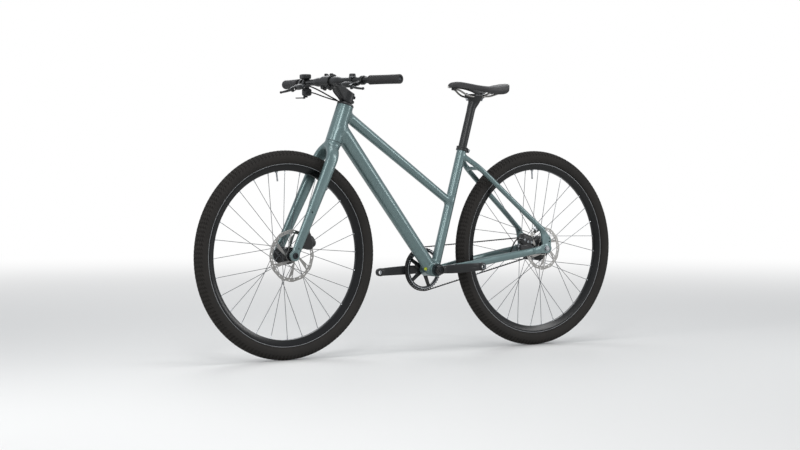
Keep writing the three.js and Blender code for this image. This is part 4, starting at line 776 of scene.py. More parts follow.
# Steering: fork, headset cover and stem
def leg_rows():
    """The left fork leg's rows of x, y, z and two half sizes, from the crown down."""
    shares = [0, 0.03, 0.09, 0.19, 0.36, 0.68, 0.93, 1.03]
    out = [0, 23, 40, 46, 48.5, lerp(48.5, 57, 0.62), 57, 57]
    widths = [32, 30.4, 28, 25, 25, lerp(25, 15, 0.45), 15, 9.75]
    depths = [50, 48.5, 45.3, 44, 41.8, lerp(44, 33, 0.7), 33, 28]
    return [[lerp(8, RAKE, min(s * 1.02, 1)), y, -(20 + s * (FORK_LENGTH - 20)), depth / 2, width / 2]
            for s, y, depth, width in zip(shares, out, depths, widths)]


def add_fork():
    rows = leg_rows()
    other = [[x, -y, z, a, b] for x, y, z, a, b in rows]
    blades = swept(rows[:0:-1] + other, X, 2.5, 90)
    inner, end = 50 + GAP, 62 + GAP
    eye = either_side(pin(RAKE, -FORK_LENGTH, inner, end, 18, 1.5))
    plug = bar((0, 0, -24), (0, 0, 0), 24, 29.5, 1)
    room = box((RAKE - 40, -inner, -FORK_LENGTH - 40), (RAKE + 40, inner, -FORK_LENGTH + 30), 1)
    port_x, port_z = 33.9, -270.8
    cuts = [room, pin(RAKE, -FORK_LENGTH, -80, 80, 7.8, 0), pin(RAKE, -FORK_LENGTH, end - 0.2, 80, 10.6, 0),
            pin(port_x, port_z, 55, 90, 3.4, 0)]
    for x, z in ((RAKE - 3, -FORK_LENGTH + 27), (RAKE - 13, -FORK_LENGTH + 25)):
        cuts.append(pin(x, z, 54, 90, 2.3, 0))
    solid = carved(merged(blades, (eye, 5), (plug, 12)), *cuts, blend=0.4)
    boss = carved(pin(port_x, port_z, 50, 61.9, 5.2, 0.6), pin(port_x, port_z, 40, 90, 3.4, 0), blend=0.2)
    solid = merged(solid, (boss, 1.5))
    low, high = (-32, -80, -FORK_LENGTH - 24), (70, 80, 2)
    place("fork_fine", skin(solid, low, high, 1.6), PAINT, "steering", "paint", "fork", matrix=STEERING,
          sharp=50)
    axle = Shape().join(rod((RAKE, -end, -FORK_LENGTH), (RAKE, end, -FORK_LENGTH), 7.5),
                        bolt((RAKE, end, -FORK_LENGTH), Y, 10, 5.2, 0.42))
    place("front_axle_fine", axle, DARK_STEEL, "steering", "black_metal", "front_axle", matrix=STEERING)


def add_headset_cover():
    floor = 1 + HEAD_LENGTH + GAP
    rows = [(0, 28.5, 28.5), (0.08, 29.5, 29.5), (0.4, 29.4, 29.2), (0.7, 27.8, 26), (0.93, 25.6, 21),
            (1, 24.4, 19.6)]
    rings = [oval(vec(0, 0, floor + s * COVER_HEIGHT), X, Y, a, b, 64, 2.2) for s, a, b in rows]
    place("headset_cover_fine", loft(rings), BLACK, "steering", "black_metal", "headset_cover",
          matrix=STEERING)
    seal = turned(ring_profile(23.5, 29.1, -0.1, 1.1, 0.3), 64, (0, 0, 0), Z)
    place("crown_seal", seal, RUBBER, "steering", "rubber", matrix=STEERING)


def add_stem():
    clamp, post = BAR_RADIUS + GAP + 5, STEERER_RADIUS + GAP + 5
    floor = 1 + HEAD_LENGTH + GAP + COVER_HEIGHT + GAP
    ceiling = floor + 37
    outline = rounded([(-post * 0.7, floor), (post, floor), (BAR_X - clamp * 1.4, BAR_Z - clamp * 0.4),
                       (BAR_X, BAR_Z - clamp * 0.4), (BAR_X, BAR_Z + clamp * 0.9),
                       (BAR_X - clamp * 0.4, BAR_Z + clamp * 0.9), (-post * 0.7, ceiling - GAP)], 5)
    side = plate(outline, -17, 17, 3.5)
    steerer = upright(0, 0, floor, ceiling, post, 1.2)
    holder = pin(BAR_X, BAR_Z, -24, 24, clamp, 1.5)
    bore = pin(BAR_X, BAR_Z, -30, 30, BAR_RADIUS + GAP, 0)
    slit = box((-post - 5, -0.7, floor - 2), (-12, 0.7, ceiling + 2), 0)
    front = box((BAR_X - 0.5, -40, BAR_Z - 40), (BAR_X + 60, 40, BAR_Z + 40), 0)
    rear = box((BAR_X - 60, -40, BAR_Z - 40), (BAR_X + 0.5, 40, BAR_Z + 40), 0)
    pinches = (floor + 9, ceiling - 11)
    lugs = [box((-post - 4, -14, z - 5.5), (-post + 12, 14, z + 5.5), 3) for z in pinches]

    def blocks(low, high):
        return [box((BAR_X + low, y - 6, z - 7), (BAR_X + high, y + 6, z + 6), 3)
                for z in (BAR_Z + 22.5, BAR_Z - 22.5) for y in (-17, 17)]
    solid = merged(side, (steerer, 6), (holder, 5), *[(piece, 4) for piece in lugs + blocks(-12, 0)])
    body = skin(carved(solid, front, bore, slit, blend=0.5), (-26, -26, floor - 2),
                (BAR_X + 2, 26, BAR_Z + 31), 0.9)
    place("stem_fine", body, BLACK, "steering", "black_metal", "stem", matrix=STEERING, sharp=45)
    window = box((BAR_X, -11, BAR_Z - 9), (BAR_X + 40, 11, BAR_Z + 9), 3)
    solid = carved(merged(holder, *[(ear, 4) for ear in blocks(0.7, 9)]), rear, bore, blend=0.4)
    solid = carved(solid, kept(window, pin(BAR_X, BAR_Z, -30, 30, clamp - 1.4)), blend=0.6)
    faceplate = skin(solid, (BAR_X, -26, BAR_Z - 30), (BAR_X + 23, 26, BAR_Z + 30), 0.7)
    place("stem_faceplate_fine", faceplate, BLACK, "steering", "black_metal", "stem_faceplate",
          matrix=STEERING, sharp=45)
    screws = Shape()
    for s in (1, -1):
        for y in (-17, 17):
            screws.join(bolt((BAR_X + 8.6, y, BAR_Z + s * 23), X, 3.7, 3.2))
    for z in pinches:
        screws.join(bolt((-post + 1, 13.4, z), Y, 3.9, 1.9),
                    rod((-post + 1, -14.6, z), (-post + 1, 13.5, z), 3.2))
    screws.join(bolt((0, 0, ceiling - 1.2), Z, 8, 1.9, 0.35))
    place("stem_screws", screws, DARK_STEEL, "steering", "black_metal", matrix=STEERING)


def add_handlebar():
    out = vec(-sine(BAR_SWEEP), cosine(BAR_SWEEP), 0)
    run = (352 - BAR_BEND) / cosine(BAR_SWEEP)
    bend = vec(0, BAR_BEND, 0)
    half = [vec(0, y, 0) for y in (0, 30, 62, 84, 95)]
    half += [bend + length * out for length in (8, 20, run / 2, run)]
    sizes = [15.9, 15.9, 15.9, 12.2, 11.4, 11.1, 11.1, 11.1, 11.1]
    fine = smooth([[*p, r, r] for p, r in zip(half, sizes)], 60)
    other = fine[1:].copy()[::-1]
    other[:, 1] *= -1
    place("handlebar_fine", sweep(np.concatenate([other, fine]), Z, 40), BLACK, "steering", "black_metal",
          "handlebar", matrix=COCKPIT)
    start, end = 118.5, run + GAP
    for side, word in ((1, "left"), (-1, "right")):
        profile = [(11.2, start), (15.6, start), (16.2, start + 0.8), (16.2, start + 4.5),
                   (15.4, start + 5.2)]
        ribs = 52
        for i in range(ribs):
            y = lerp(start + 6, end - 7, i / (ribs - 1))
            profile.append((15.75 + 0.42 * (i % 2) - 0.35 * sine(180 * i / (ribs - 1)), y))
        profile += [(15.5, end - 5.5), (16.25, end - 4.8), (16.25, end + 2.5), (15.4, end + 4.2),
                    (14, end + 5), (9.2, end + 5), (8.5, end + 4.3), (8.5, end + 2), (11.2, end + 0.6),
                    (11.2, start)]
        matrix = control(0, side)
        place(f"grip_{word}_fine", turned(profile, 48), GRIP, "steering", "rubber", f"grip_{word}",
              matrix=matrix, sharp=30)
        plug = turned([(0, end - 2), (8.45, end - 2), (8.45, end + 2.6), (6.6, end + 3.6), (5.5, end + 2.2),
                       (0, end + 2.2)], 40)
        place(f"grip_{word}_plug", plug, DARK_STEEL, "steering", "black_metal", matrix=matrix)


def add_brakes():
    x, y, low = 50, 72, 14
    clamp = carved(pin(0, 0, 78, 90, 15.9, 1.2), pin(0, 0, 70, 100, BAR_BORE, 0), blend=0.3)
    tank = swept([[28, 10, 0, 5.5, 5.5], [30.3, 24, 0, 9, 9], [33, 45, 0, 10, 10], [33, 62, 0, 9.6, 9.6],
                  [33, 76, 0, 8.6, 8.6]], X, 2.2, 24)
    arm = box((11, 71, -6), (34, 90, 6), 2)
    ears = either_side(box((33, 66.5, 5.3), (55.5, 77.5, 7.8), 1), Z)
    room = upright(x, y, -5.3, 5.3, 6.1, 0)
    face = box((0, -10, -30), (60, low, 30), 0)
    slit = box((-24, 70, -0.6), (-9, 100, 0.6), 0)
    lug = box((-22, 78.5, -5), (-12, 89.5, 5), 2)
    body = carved(merged(clamp, (lug, 2)), pin(0, 0, 70, 100, BAR_BORE, 0), slit, blend=0.3)
    tank = carved(merged(tank, (arm, 4), (ears, 1.5)), pin(0, 0, 40, 110, BAR_BORE, 0), room, face, blend=0.5)
    body = skin(merged(body, (tank, 3)), (-26, low - 1, -17), (58, 92, 17), 0.8)
    rows = [[lerp(x, 69, out), lerp(y, 146, along), 0, 3.5 * size, 5 * size] for along, out, size in
            [[0, 0, 1], [0.18, 0.2, 1], [0.42, 0.55, 0.9], [0.7, 0.85, 0.8], [0.96, 1, 0.72]]]
    blade = merged(swept(rows, X, 2.6, 30), (upright(x, y, -5, 5, 5.5, 1), 4),
                   (upright(68.6, 143, -3.6, 3.6, 4.6, 2.2), 4))
    blade = skin(carved(blade, upright(x, y, -9, 9, 2.4, 0)), (43, 65, -6), (75, 149, 6), 0.6)
    for side, word in ((1, "left"), (-1, "right")):
        matrix = control(BRAKE_LEAN, side)
        place(f"brake_body_{word}_fine", body, BLACK, "steering", "black_metal", f"brake_body_{word}",
              matrix=matrix, sharp=45)
        place(f"brake_lever_{word}_fine", blade, BLACK, f"brake_lever_{word}", "black_metal",
              f"brake_lever_{word}", matrix=matrix, sharp=45)
        screws = Shape().join(bolt((x, y, 7.8), Z, 3.6, 1.4), bolt((x, y, -7.8), -Z, 3.6, 1.4),
                              bolt((-17, 84, 4.6), Z, 3, 2.2), rod((x, y, -8), (x, y, 8), 2.1),
                              rod((28.7, low - 3.5, 0), (28.7, low + 3, 0), 4.6, sides=6))
        place(f"brake_screws_{word}", screws, SILVER, "steering", "silver", matrix=matrix)


def lever_paddle(x, y, tip_x, tip_y, top):
    low = top - 4
    along = unit(vec(tip_x - x, tip_y - y, 0))
    sideways = vec(-along[1], along[0], 0)
    rows = []
    for share, half in [[0, 5], [0.35, 4.6], [0.6, 5.4], [0.9, 6.4], [0.97, 5.4]]:
        rows.append([lerp(x, tip_x, share), lerp(y, tip_y, share), (low + top) / 2, half, 2])
    body = merged(swept(rows, sideways, 3, 24), (upright(x, y, low, top, 5, 0.8), 2))
    body = carved(body, upright(x, y, low - 4, top + 4, 2.8, 0))
    return skin(body, (min(x, tip_x) - 9, y - 9, low - 1), (max(x, tip_x) + 9, tip_y + 9, top + 1), 0.6)


def add_shifter():
    matrix = control(0, -1)
    clamp = pin(0, 0, 41, 51, 15.9, 1)
    neck = box((-7, 39, -24), (7, 53, -12), 2)
    floor, start = -46, 28
    pod_rows = [[0, start + 0.6, floor + 13.5, 11, 10.6], [0, start + 7, floor + 13.5, 13.6, 13.1],
                [0, start + 30, floor + 13.5, 14, 13.5], [0, start + 35.4, floor + 13.5, 12, 11.6]]
    pod = swept(pod_rows, X, 4, 20)
    display = box((-9, 24, 13.5), (25, 56, 30), 4)
    slope = box((-13, 22, 13.4), (27, 57.4, 30.3), 5)
    solid = merged(clamp, (neck, 4), (pod, 3), (kept(slope, display, 1), 3))
    ledge = box((-20, 20, floor + 3.4), (20, 70, floor + 4.2), 0)
    seam = carved(ledge, box((-12.8, start + 1, floor), (12.8, start + 34.6, floor + 20), 3))
    solid = carved(solid, pin(0, 0, 30, 60, BAR_BORE, 0), seam, blend=0.3)
    place("shifter_body_fine", skin(solid, (-18, 18, floor - 1), (30, 68, 33), 0.8), PLASTIC, "steering",
          "plastic", "shifter_body", matrix=matrix, sharp=45)
    screen = loft([oval(vec(8, 40, z), X, Y, a, b, 48, 5) for z, a, b in
                   ((29.2, 14.2, 13.2), (30.4, 14, 13), (30.7, 13.4, 12.4))])
    place("shifter_display", screen, GLASS, "steering", "plastic", matrix=matrix)
    for name, x, y, tip_x, tip_y, top in (("thumb_lever", 0, 54, -14, 90, floor - GAP),
                                          ("release_lever", 9, 51, 28, 79.8, floor - 4 - 3 * GAP)):
        place(f"{name}_fine", lever_paddle(x, y, tip_x, tip_y, top), PLASTIC, name, "plastic", name,
              matrix=matrix, sharp=45)
    pins = Shape()
    for x, y, head, height, low in ((0, 54, floor - 4.4, 0.8, floor - 5),
                                    (9, 51, floor - 8.9, 1.1, floor - 9)):
        pins.join(bolt((x, y, head), -Z, 4, height), rod((x, y, low), (x, y, floor + 2), 2.5))
    place("shifter_pins", pins, DARK_STEEL, "steering", "black_metal", matrix=matrix)


def add_bar_cap():
    """A small round cap on a clamp, inboard of the left brake."""
    matrix = control(0, 1)
    clamp = pin(0, 0, 31, 41, 15, 1)
    dome = bar((1, 36, 9), (1, 36, 24), 12.5, 10.5, edge=3)
    solid = carved(merged(clamp, (dome, 3)), pin(0, 0, 20, 60, BAR_BORE, 0), blend=0.3)
    place("left_bar_cap", skin(solid, (-17, 22, -17), (17, 50, 26), 0.8), PLASTIC, "steering", "plastic",
          matrix=matrix, sharp=45)
    edge = turned(ring_profile(10.8, 12.9, 11.6, 13, 0.4), 48, (1, 36, 0), Z)
    edge.join(bolt((-15.2, 36, 0), -X, 3.2, 2.4))
    place("left_bar_cap_edge", edge, SILVER, "steering", "silver", matrix=matrix)


# Hoses and the gear cable, from their controls to the headset cover
HOSE_ROUTE = [[116, 96, 168.5], [109, 62, 163], [85, 37, 156], [57, 23, 150], [36, 14, 146.5], [20, 10, 143]]
CABLE_ROUTE = [[85, -100, 155], [84, -72, 150], [70, -42, 144.5], [48, -13, 141.5], [33, -1, 141.5],
               [20, 0, 141.5]]


def add_hose(name, spot, lean, side, route, diameter):
    matrix = control(lean, side)
    start = [apply(matrix, (spot[0], spot[1] + lead, spot[2])) for lead in (-0.4, -5)]
    points = start + [apply(STEERING, p) for p in route]
    rows = smooth([(*p, diameter / 2, diameter / 2) for p in points], 70)
    hose = place(f"{name}_fine", sweep(rows, Z, 16), RUBBER, "steering", "rubber", name)


def add_hoses():
    for word, side in (("left", 1), ("right", -1)):
        route = [[u, v * side, w] for u, v, w in HOSE_ROUTE]
        add_hose(f"{word}_brake_hose", (28.71, 10.5, 0), BRAKE_LEAN, side, route, 5)
    add_hose("gear_cable", (0, 28, -32.5), 0, -1, CABLE_ROUTE, 4.5)


# Wheels
def tread_height(u, v):
    """The tread's blocks, from 0 in a groove to 1 on a block: u in pitches round the tyre, v across it."""
    def step(x):
        x = np.clip(x, 0, 1)
        return x * x * (3 - 2 * x)
    row = np.round(v / TREAD_ROW)
    slanted = u + 0.5 * np.abs(v) / TREAD_ROW + 0.5 * (np.abs(row) % 2)
    lengthwise = np.abs(slanted % 1 - 0.5) * 15.1
    return step((5.4 - lengthwise) / 2.5 + 0.5) * step((2.9 - np.abs(v - row * TREAD_ROW)) / 1.1 + 0.5)


def tyre_shape():
    """A tyre with its tread, and which of its faces lie in a groove."""
    around_count = TREAD_PITCHES * 6
    outer, centre = TYRE_WIDTH / 2, TYRE - TYRE_WIDTH / 2
    edge, crease, ridge = 72, 84, 118
    wall = [78, crease, 92, 100, 109, ridge, 127, 132, 136]
    angles = np.concatenate([-np.array(wall[::-1]), np.linspace(-edge, edge, 61), wall])
    bead = [(BEAD_SEAT + 5.6, 10.3), (BEAD_SEAT + GAP, 10.3), (BEAD_SEAT + GAP, 5.8)]
    inner = [(centre + 21 * cosine(q), 21 * sine(q)) for q in (104, 60, 0, -60, -104)]
    radius = np.full((around_count, len(angles)), float(outer))
    on_tread = np.abs(angles) <= edge
    pitches = np.arange(around_count) / around_count * TREAD_PITCHES
    block = tread_height(*np.meshgrid(pitches, np.radians(angles[on_tread]) * outer, indexing="ij"))
    depth = np.interp(np.abs(angles[on_tread]), [0, 50, edge], [1.3, 1.2, 0.6])
    radius[:, on_tread] -= depth * (1 - block)
    radius[:, np.abs(angles) == crease] -= 0.6
    radius[:, np.abs(angles) == ridge] += 0.35
    a = np.radians(angles)
    inside = np.array(bead + inner + [(r, -y) for r, y in bead[::-1]])
    rings = []
    for row, q in zip(radius, np.arange(around_count) / around_count * 2 * math.pi):
        away = np.concatenate([centre + row * np.cos(a), inside[:, 0]])
        y = np.concatenate([row * np.sin(a), inside[:, 1]])
        rings.append(np.stack([away * math.cos(q), y, away * math.sin(q)], 1))
    low = np.zeros((around_count, len(rings[0])), bool)
    low[:, :len(angles)][:, on_tread] = block < 0.5
    corners = [low, np.roll(low, -1, 1), np.roll(low, -1, 0), np.roll(np.roll(low, -1, 0), -1, 1)]
    return loft(rings, closed=True), sum(c.astype(int) for c in corners).ravel() >= 3


def rim_shape():
    edge, lip = BEAD_SEAT + 5, 13
    side = [(RIM_BED, 6.2), (RIM_BED + 1.2, 8.4), (RIM_BED + 8, 10.6), (BEAD_SEAT - 4, 12.4),
            (BEAD_SEAT + 1, lip), (edge - 0.8, lip), (edge, lip - 0.7), (edge, lip - 1.9),
            (edge - 1, lip - 2.4), (BEAD_SEAT, lip - 2.4)]
    loop = side + [(r, -y) for r, y in side[::-1]]
    return turned(loop + [loop[0]], 256)


def around(angle, radius, y):
    return vec(radius * math.cos(angle), y, radius * math.sin(angle))


def add_spokes(name, body, side, flange_radius, flange_place, count, phase, matrix):
    spokes, nipples = Shape(), Shape()
    step = 2 * math.pi / count
    out, at = flange_place * side, flange_radius - 1.5
    for i in range(count):
        leading = 1 if i % 2 else -1
        at_flange, at_rim = phase + i * step, phase + (i + leading * SPOKE_CROSS) * step
        elbow = around(at_flange, at, out + leading * 2.8)
        head = around(at_flange, at, out - leading * 1.6)
        foot = around(at_rim, RIM_BED + 1, side * 2.5)
        run = unit(foot - elbow)
        path = [head, lerp(head, elbow, 0.6), elbow + run * 1.6, elbow + run * 7, lerp(elbow, foot, 0.5),
                foot]
        spokes.join(sweep([(*p, 1.0, 1.0) for p in path], Y, 10),
                    turned([(0, -0.7), (1.9, -0.6), (1.9, 0), (1, 0.6), (0, 0.6)], 10, head,
                           unit(elbow - head)))
        nipples.join(turned([(0, 0), (1.3, 0), (1.75, 0.6), (1.75, 9.4), (2.6, 10.4), (2.6, 13.4), (0, 13.4)],
                            12, foot - run * 13, run))
    words = f"{name}_spokes_{'left' if side > 0 else 'right'}"
    place(f"{words}_fine", spokes, SPOKE, body, "silver", words, matrix=matrix)
    place(f"{words}_nipples", nipples, POLISHED, body, "silver", matrix=matrix)


def rotor_shape(radius, offset, bore):
    """A brake disc: a wavy band with slots, on slanted arms from a ring round the hub."""
    wings = 6
    outer = [polar(radius - 0.9 * (1 - math.cos(2 * wings * q)), q) for q in turns(240)]
    holes = [circle(0, 0, bore, 48)]
    arm, inside, ring = 3.1, radius - 13.5, bore + 8
    step, slant = 2 * math.pi / wings, math.radians(34)
    foot_half, tip_half = arm / ring, 8.2 / inside
    for i in range(wings):
        start, end = i * step, i * step + slant
        lows = np.linspace(start + foot_half, start + step - foot_half, 10)
        highs = np.linspace(end + tip_half, end + step - tip_half, 18)
        window = [polar(ring, q) for q in lows] + [polar(inside, q) for q in highs[::-1]]
        holes.append(rounded(window, 2.2, 2))
        lean = slant * 13 / (inside - ring)
        fork = [(inside - 0.2, end + 4.4 / inside), (inside - 0.2, end - 4.4 / inside),
                (inside - 13, end - lean)]
        holes.append(rounded([polar(r, q) for r, q in fork], 1.4, 2))
        for share, at, size in ((0.1, radius - 8, 2.6), (0.38, radius - 9.4, 2.2), (0.62, radius - 6, 2.2),
                                (0.86, radius - 8.6, 2.6)):
            q = start + share * step
            holes.append([polar(at + size * 0.85 * math.sin(t), q + size * 1.5 * math.cos(t) / at)
                          for t in turns(12)])
    return slab(outer, offset - 0.9, offset + 0.9, 0.2, holes)


def add_wheel(name, count, flange_radius, places, valve_angle):
    body, matrix = f"{name}_wheel", WHEELS[name]
    valve = math.radians(90 - valve_angle)
    step = 2 * math.pi / count
    for side, flange, phase in ((1, places[0], step / 4), (-1, places[1], -step / 4)):
        add_spokes(name, body, side, flange_radius, flange, count, valve + phase, matrix)
    shape, in_groove = tyre_shape()
    tyre = place(f"{name}_tyre_fine", shape, TREAD, body, "tyre", f"{name}_tyre", matrix=matrix, sharp=60)
    # Faces in a groove get the painted groove shade
    tyre.data.materials.append(GROOVE_SHADE)
    tyre.data.polygons.foreach_set("material_index", in_groove.astype(np.int32))
    place(f"{name}_rim_fine", rim_shape(), RIM, body, "black_metal", f"{name}_rim", matrix=matrix)
    # A pale band on each rim's lip: partly the rim's bright edge, partly a painted highlight along it
    bright = Shape()
    for side in (1, -1):
        band = [(BEAD_SEAT + r, side * y) for r, y in
                ((3.0, 12.9), (3.1, 13.2), (4.4, 13.2), (4.6, 12.7), (3.0, 12.9))]
        bright.join(turned(band, 256))
    place(f"{name}_rim_edge_highlight", bright, FACING_AND_RIM_HIGHLIGHT, body, "silver", matrix=matrix)
    top, end = BEAD_SEAT - 18, RIM_BED - 34
    out = around(valve, 1, 0)
    stem = turned([(0, end), (2.2, end), (2.9, end + 1), (2.9, end + 11), (2.4, end + 12.2), (2.4, end + 13),
                   (2.9, end + 13.6), (2.9, BEAD_SEAT), (0, BEAD_SEAT)], 20, (0, 0, 0), out)
    nut = turned([(3, top - 6), (5.4, top - 6), (5.4, top - 2.6), (3, top - 2.6), (3, top - 6)], 20,
                 (0, 0, 0), out)
    place(f"{name}_valve", stem.join(nut), SILVER, body, "silver", f"{name}_inner_tube", matrix=matrix)


# The hubs' outlines, as radius and place along the axle
FRONT_HUB = [(7.8, -50), (12, -50), (13, -49), (13, -42), (17, -40), (28.4, -34.8), (29, -34.4), (29, -31.6),
             (28.4, -31.2), (20, -29), (15, -25), (13, -12), (13, 6), (15.5, 16), (21, 19.4), (28.4, 20.4),
             (29, 20.8), (29, 23.4), (28.4, 23.8), (19, 27), (14, 31), (14, 36), (15, 40), (13, 42),
             (12.4, 49), (11.5, 50), (7.8, 50), (7.8, -50)]
REAR_HUB = [(5.3, -67.5), (9, -67.5), (12, -66.5), (12, -54), (16.8, -53), (17, -41), (26, -40), (31, -37.5),
            (36, -35), (37.5, -31), (40, -29.4), (45.4, -28.6), (46, -28.2), (46, -25.8), (45.4, -25.4),
            (40, -24.6), (37.8, -22), (37, -18), (36.6, -8), (36.6, 8), (37, 18), (37.8, 22), (40, 24.6),
            (45.4, 25.4), (46, 25.8), (46, 28.2), (45.4, 28.6), (40, 29.4), (37, 33), (33, 38), (22, 42),
            (17.6, 44), (17.1, 47), (17.1, 56), (14, 58), (12, 66), (9, 67.5), (5.3, 67.5), (5.3, -67.5)]


def add_wheels():
    add_wheel("front", count=14, flange_radius=29, places=(22, 33), valve_angle=7.4)
    add_wheel("rear", count=16, flange_radius=46, places=(27, 27), valve_angle=2)
    for name, profile, sides in (("front", FRONT_HUB, 64), ("rear", REAR_HUB, 72)):
        place(f"{name}_hub_fine", turned(profile, sides), BLACK, f"{name}_wheel", "black_metal",
              f"{name}_hub", matrix=WHEELS[name])
    for name, radius, offset, bore, lock in (("front", FRONT_DISC, FRONT_DISC_AT, 14.3, 20),
                                             ("rear", REAR_DISC, REAR_DISC_AT, 17.4, 22)):
        body, matrix = f"{name}_wheel", WHEELS[name]
        place(f"{name}_rotor_fine", rotor_shape(radius, offset, bore), STEEL, body, "steel",
              f"{name}_rotor", matrix=matrix, sharp=30)
        teeth = [polar(lock - (1.6 if i % 4 == 0 else 0), q) for i, q in enumerate(turns(48))]
        ring = slab(teeth, offset + 1, offset + 5, 0.5, [circle(0, 0, bore + 0.6, 48)])
        place(f"{name}_lock_ring", ring, DARK_STEEL, body, "black_metal", matrix=matrix)
    nut = DROPOUT + 8 + GAP
    axle = Shape().join(rod((0, -nut - 8, 0), (0, nut + 8, 0), 4.9))
    for side in (1, -1):
        axis = Y * side
        washer = [(5, nut), (11, nut), (11, nut + 1.2), (5, nut + 1.2), (5, nut)]
        axle.join(turned(washer, 32, (0, 0, 0), axis),
                  loft([oval(axis * (nut + y), X, Z, 9.2 * s, 9.2 * s, 6)
                        for y, s in ((1.2, 1), (6.6, 1), (7.6, 0.86))]))
    place("rear_axle_fine", axle, SILVER, "frame", "steel", "rear_axle", matrix=WHEELS["rear"])


# Brakes on the discs
def caliper(reach, length, offset, disc, angle, origin):
    """A caliper's solid round its disc, as a distance in a frame at the axle, and its matrix."""
    rows = [[reach + share * length, offset, 0, 22 * a, 12.5 * b] for share, a, b in
            [[0.02, 0.72, 0.86], [0.14, 0.95, 1], [0.5, 1, 1], [0.84, 0.94, 1], [0.98, 0.66, 0.84]]]
    body = swept(rows, Z, 3.4, 20)
    slot = pin(0, 0, offset - 2.6, offset + 2.6, disc + 2.2, 0)
    cuts = []
    for share in (0.3, 0.45, 0.6):
        x = reach + length * share
        cuts.append(box((x - 1, offset - 20, -17), (x + 1, offset - 11.6, 17), 0.4))
    cap = pin(reach + length * 0.45, 0, offset + 10, offset + 13.6, 10.5, 1)
    return carved(merged(body, (cap, 1.5)), slot, *cuts, blend=0.8), shift(*origin) @ turn("Y", -angle)


def in_frame(distance, matrix):
    back = np.linalg.inv(matrix)
    return lambda points: distance(apply(back, points))


def bracket_outline(axle, disc, corners, radius):
    """A caliper's bracket, from corners in shares of the disc's radius."""
    return rounded([(axle[0] + x * disc, axle[2] + z * disc) for x, z in corners], radius)


def add_front_caliper():
    at = vec(RAKE, 0, -FORK_LENGTH)
    angle = 127
    solid, matrix = caliper(62, 42, FRONT_DISC_AT, FRONT_DISC, angle, at)
    corners = ((-0.722, 0.544), (-0.389, 0.4), (0.011, 0.467), (-0.056, 1.044), (-0.411, 1.067))
    mount = plate(bracket_outline(at, FRONT_DISC, corners, 8), 42.5, 55, 1.5)
    legs = swept(leg_rows(), X, 2.5, 60)
    joined = carved(merged(in_frame(solid, matrix), (mount, 3)), lambda p: legs(p) - 0.2, blend=0.3)
    place("front_caliper_fine", skin(joined, at + vec(-90, 22, 20), at + vec(20, 60, 110), 0.8), BLACK,
          "steering", "black_metal", "front_caliper", matrix=STEERING, sharp=45)
    hose = tube([at + vec(*p) for p in ((-45, 42, 72), (-37, 45, 92), (-25, 50, 110), (-9, 54, 134))], 2.5)
    place("front_caliper_hose", hose, RUBBER, "steering", "rubber", matrix=STEERING)
    bolts = Shape()
    for turned_by, reach in ((10, 76), (-14, 82)):
        way = angle + turned_by
        bolts.join(bolt(at + vec(cosine(way) * reach, 51.2, sine(way) * reach), Y, 4.2, 3.4))
    bolts.join(bolt(at + vec(-46, 49.5, 68), Y, 5, 4.5),
               rod(at + vec(-45.6, 42, 70), at + vec(-40, 44, 84), 3.6, 3))
    place("front_caliper_bolts", bolts, SILVER, "steering", "silver", matrix=STEERING)


def add_rear_caliper():
    at = REAR_AXLE
    solid, matrix = caliper(60, 58, REAR_DISC_AT, REAR_DISC, 21, at)
    corners = ((0.606, 0.1375), (0.606, -0.1375), (1.356, -0.2875), (1.456, 0.2125))
    mount = plate(bracket_outline(at, REAR_DISC, corners, 6), 56.5, 64, 1.5)
    joined = merged(in_frame(solid, matrix), (mount, 3))
    place("rear_caliper_fine", skin(joined, at + vec(35, 36, -30), at + vec(135, 70, 70), 0.8), BLACK,
          "frame", "black_metal", "rear_caliper", sharp=45)
    hose = tube([at + vec(*p) for p in ((102.5, 56, 37), (120.5, 57, 39), (138.5, 56, 23), (150.5, 53, -6),
                                        (156.5, 52, -26))], 2.5)
    place("rear_caliper_hose", hose, RUBBER, "frame", "rubber")
    fins = Shape()
    for i in range(5):
        low = i * 2.4
        fins.join(slab(rounded([(38, -7), (62, -7), (62, 12), (38, 12)], 3), 49 + low, 50.2 + low, 0.3))
    fins.join(slab(rounded([(40, -5), (60, -5), (60, 10), (40, 10)], 2), 48.4, 60, 0.3))
    place("rear_caliper_fins", fins, POLISHED, "frame", "silver",
          matrix=shift(*at) @ shift(-12, 6, 58) @ turn("Y", -18))
    bolts = Shape()
    for x, z in ((64, 24), (80, 26), (96, 34)):
        bolts.join(bolt(at + vec(x, 63.6, z), Y, 4.4, 3.4))
    bolts.join(bolt(at + vec(103, 59, 38), Y, 5, 4.5),
               rod(at + vec(103, 56, 37), at + vec(116, 57, 39), 3.6, 3))
    place("rear_caliper_bolts", bolts, SILVER, "frame", "silver")


# Crankset, belt and bottom bracket
BELT_LINE, BELT_PITCH, BELT_THICKNESS = 47, 11, 4
RING_TEETH, SPROCKET_TEETH = 45, 22
RING, SPROCKET = [teeth * BELT_PITCH / (2 * math.pi) - BELT_THICKNESS / 2 - GAP
                  for teeth in (RING_TEETH, SPROCKET_TEETH)]


def toothed(radius, teeth, depth):
    outline = []
    for i in range(teeth):
        for share, low in ((0.0, 0), (0.42, 0), (0.52, 1), (0.9, 1)):
            outline.append(polar(radius - depth * low, 2 * math.pi * (i + share) / teeth))
    return rounded(outline, 0.9, 2)


